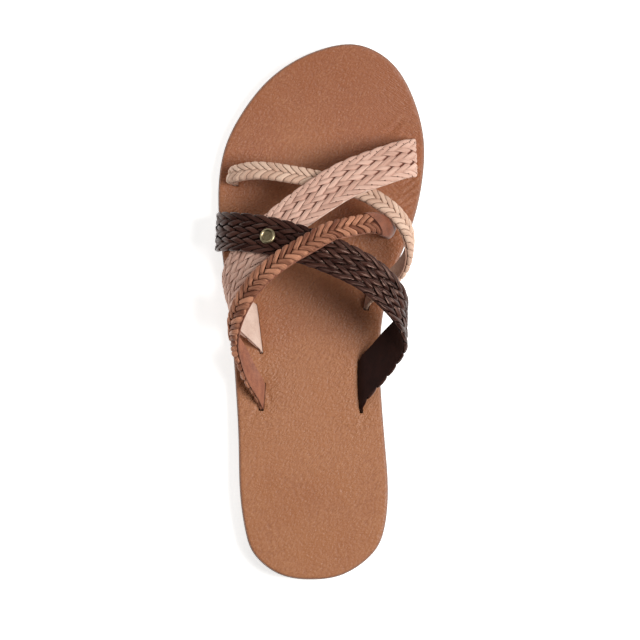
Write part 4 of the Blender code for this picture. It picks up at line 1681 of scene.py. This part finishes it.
@dataclass
class Outsole:
    """The rubber sole: lugs between grooves, fine cuts across the lugs, and pockets for the strap ends.

    `lower_edge` gives the inset and the height of each ring of its lower edge, in mm.
    """

    groove_width: float = 2.6 * MM
    groove_depth: float = 1.5 * MM
    cut_width: float = 0.7 * MM
    cut_depth: float = 0.6 * MM
    lug_pitch: float = 8.6 * MM
    bar_length: float = 1.4 * BALL_WIDTH
    rounding: float = 0.4 * MM
    rounding_steps: int = 4
    around: int = 360
    upper_rings: int = 20
    lower_edge: tuple[tuple[float, float], ...] = (
        (0.0, 2.2), (0.1, 1.6), (0.25, 1.0), (0.5, 0.5), (0.95, 0.15), (1.6, 0.0))
    rubber: MouldedRubber = field(default_factory=MouldedRubber)

    def groove_cutter(self) -> Object:
        """Bars across both treads, joined in one object.

        Returns:
            The cutter.
        """
        mesh = bmesh.new()
        groove = Vector((self.bar_length, self.groove_width, 2 * self.groove_depth))
        cut = Vector((self.bar_length, self.cut_width, 2 * self.cut_depth))
        for start, end in (SOLE.heel_tread, SOLE.forefoot_tread):
            room = (end - start) * LENGTH
            count = int(room // self.lug_pitch)
            first = start * LENGTH + (room - (count - 1) * self.lug_pitch) / 2
            for i in range(2 * count - 1):
                along = first + i * self.lug_pitch / 2
                bar = bmesh.ops.create_cube(mesh, size=1.0)["verts"]
                bmesh.ops.scale(mesh, vec=cut if i % 2 else groove, verts=bar)
                bmesh.ops.translate(mesh, vec=place(along, 0.0, SOLE.ground(along)), verts=bar)
        bmesh.ops.recalc_face_normals(mesh, faces=mesh.faces)
        return put_in("groove_cutter", mesh)

    def build(self, cutter: Object) -> None:
        """Shape the sole and cut its grooves and pockets.

        Args:
            cutter: The object that cuts the strap ends' pockets.
        """
        lower = tuple(Level(inset * MM, height * MM) for inset, height in self.lower_edge)
        upper = rounded_rim(0.0, self.rounding, self.rounding_steps)
        mesh = SoleLayer(lower, upper, self.around, self.upper_rings).build(SOLE.ground, SOLE.outsole_top)
        piece = dressed("outsole_rubber", mesh, self.rubber)
        grooves = self.groove_cutter()
        cut_away(piece, [grooves, cutter])
        bpy.data.objects.remove(grooves)
        hand_in(piece, "outsole")


@dataclass
class Stud:
    """The rivet through the dark and the blush strap, with a bare face inside a raised rim.

    `face` gives its turned face, from the middle outwards, in shares of its radius and of its height.
    """

    along: float = 0.634
    around: float = 121.0
    lift: float = 3.0 * MM
    wall: float = 2.4 * MM
    radius: float = 3.7 * MM
    height: float = 1.5 * MM
    shank_radius: float = 1.1 * MM
    burr_radius: float = 2.6 * MM
    burr_height: float = 0.5 * MM
    steps: int = 96
    face: tuple[tuple[float, float], ...] = (
        (0.0, 0.66), (0.3, 0.67), (0.58, 0.70), (0.66, 0.74), (0.71, 0.86), (0.76, 0.97), (0.82, 1.0),
        (0.89, 0.95), (0.95, 0.80), (0.99, 0.55), (1.0, 0.3), (0.98, 0.1), (0.93, 0.0))
    bright_from: float = 0.7
    brass: AntiqueBrass = field(default_factory=AntiqueBrass)

    POLE_WIDTH = 0.005 * MM

    def build(self) -> None:
        """Turn the stud and seat it on the straps."""
        top = self.lift + self.wall / 2 + FIT_GAP
        bottom = -self.wall / 2 - FIT_GAP
        foot = bottom - self.burr_height
        profile = [(self.radius * r, top + self.height * h) for r, h in self.face]
        profile += [(self.shank_radius, top), (self.shank_radius, bottom), (self.burr_radius, bottom)]
        profile += [(self.burr_radius, foot), (0.0, foot)]
        mesh = bmesh.new()
        full_spin(mesh, [mesh.verts.new((radius, 0, height)) for radius, height in profile], self.steps)
        bmesh.ops.remove_doubles(mesh, verts=mesh.verts, dist=self.POLE_WIDTH)
        bmesh.ops.recalc_face_normals(mesh, faces=mesh.faces)
        rises = np.array([(vertex.co.z - top) / self.height for vertex in mesh.verts])
        point, _, _, normal = FOOT.frames(*(np.array([value]) for value in (self.along, self.around, 0.0)))
        turn = Vector(normal[0]).to_track_quat("Z", "Y").to_matrix().to_4x4()
        bmesh.ops.transform(mesh, matrix=turn, verts=mesh.verts)
        bmesh.ops.translate(mesh, vec=point[0], verts=mesh.verts)
        piece = dressed("stud_cap", mesh, self.brass)
        set_attribute(piece.data, "rise", smooth_step((rises - self.bright_from) / (1 - self.bright_from)))
        hand_in(piece, "stud")


class Softbox(NamedTuple):
    """A softbox that faces the sandal, and whether it is seen in shiny faces.

    Its tilt is from overhead and its turn from the toe to the outer side, in degrees. Its power is in watts.
    """

    name: str
    tilt: float
    turn: float
    across: float
    height: float
    power: float
    shines: bool


SOFTBOXES = (
    Softbox("key_softbox", 36, 271, 0.6, 0.9, 26.5, True),
    Softbox("toe_softbox", 27, 0, 0.5, 0.5, 2.6, True),
    Softbox("outer_softbox", 68, 85, 1.4, 0.9, 8.0, False),
    Softbox("front_softbox", 50, 45, 0.9, 0.9, 1.0, True),
)


@dataclass
class Studio:
    """A light table under a soft key from the inner side, seen from straight above."""

    floor_size: float = 40.0
    floor_gap: float = 0.02 * MM
    light_distance: float = 1.5
    camera_height: float = 5.0
    view_width: float = 296.4 * MM
    view_centre_y: float = 3.8 * MM
    focus_height: float = 10 * MM
    fill: float = 0.015

    def build(self) -> None:
        """Lay the floor, hang the lights and place the camera."""
        self.lay_floor()
        for softbox in SOFTBOXES:
            self.hang(softbox)
        world = bpy.data.worlds.new("studio")
        world.use_nodes = True
        sky = world.node_tree.nodes["Background"]
        sky.inputs["Color"].default_value = linear("#FFFFFF")
        sky.inputs["Strength"].default_value = self.fill
        bpy.context.scene.world = world
        bpy.context.scene.view_settings.view_transform = "Standard"
        self.place_camera()

    def lay_floor(self) -> None:
        """Lay a plain pale floor a hair below the sole, so that no two faces share a plane."""
        mesh = bmesh.new()
        bmesh.ops.create_grid(mesh, x_segments=1, y_segments=1, size=self.floor_size / 2)
        bmesh.ops.translate(mesh, vec=-UP * self.floor_gap, verts=mesh.verts)
        dressed("floor", mesh, OpalAcrylic())

    def hang(self, softbox: Softbox) -> None:
        """Hang a softbox.

        Args:
            softbox: Its name, direction, size and power.
        """
        tilt, turn = math.radians(softbox.tilt), math.radians(softbox.turn)
        way = Vector((math.sin(tilt) * math.sin(turn), -math.sin(tilt) * math.cos(turn), math.cos(tilt)))
        data = bpy.data.lights.new(softbox.name, "AREA")
        data.shape = "RECTANGLE"
        data.size = softbox.across
        data.size_y = softbox.height
        data.energy = softbox.power
        lamp = bpy.data.objects.new(softbox.name, data)
        lamp.location = way * self.light_distance
        lamp.rotation_euler = way.to_track_quat("Z", "Y").to_euler()
        lamp.visible_camera = False
        lamp.visible_glossy = softbox.shines
        bpy.context.scene.collection.objects.link(lamp)

    def place_camera(self) -> None:
        """Look straight down with the toe at the top of the picture."""
        data = bpy.data.cameras.new("camera")
        data.lens = data.sensor_width * (self.camera_height - self.focus_height) / self.view_width
        camera = bpy.data.objects.new("camera", data)
        camera.location = (0.0, self.view_centre_y, self.camera_height)
        camera.rotation_euler = (0.0, 0.0, math.pi)
        bpy.context.scene.collection.objects.link(camera)
        bpy.context.scene.camera = camera


def main() -> None:
    """Build the sandal and the studio round it."""
    logging.basicConfig(level=logging.INFO, format="%(name)s: %(message)s")
    straps = make_straps()
    for strap in straps:
        strap.build()
    slots = Slots(straps)
    cutter = slots.cutter()
    Insole().build(slots, cutter)
    Outsole().build(cutter)
    bpy.data.objects.remove(cutter)
    Stud().build()
    Studio().build()


if __name__ == "__main__":
    main()
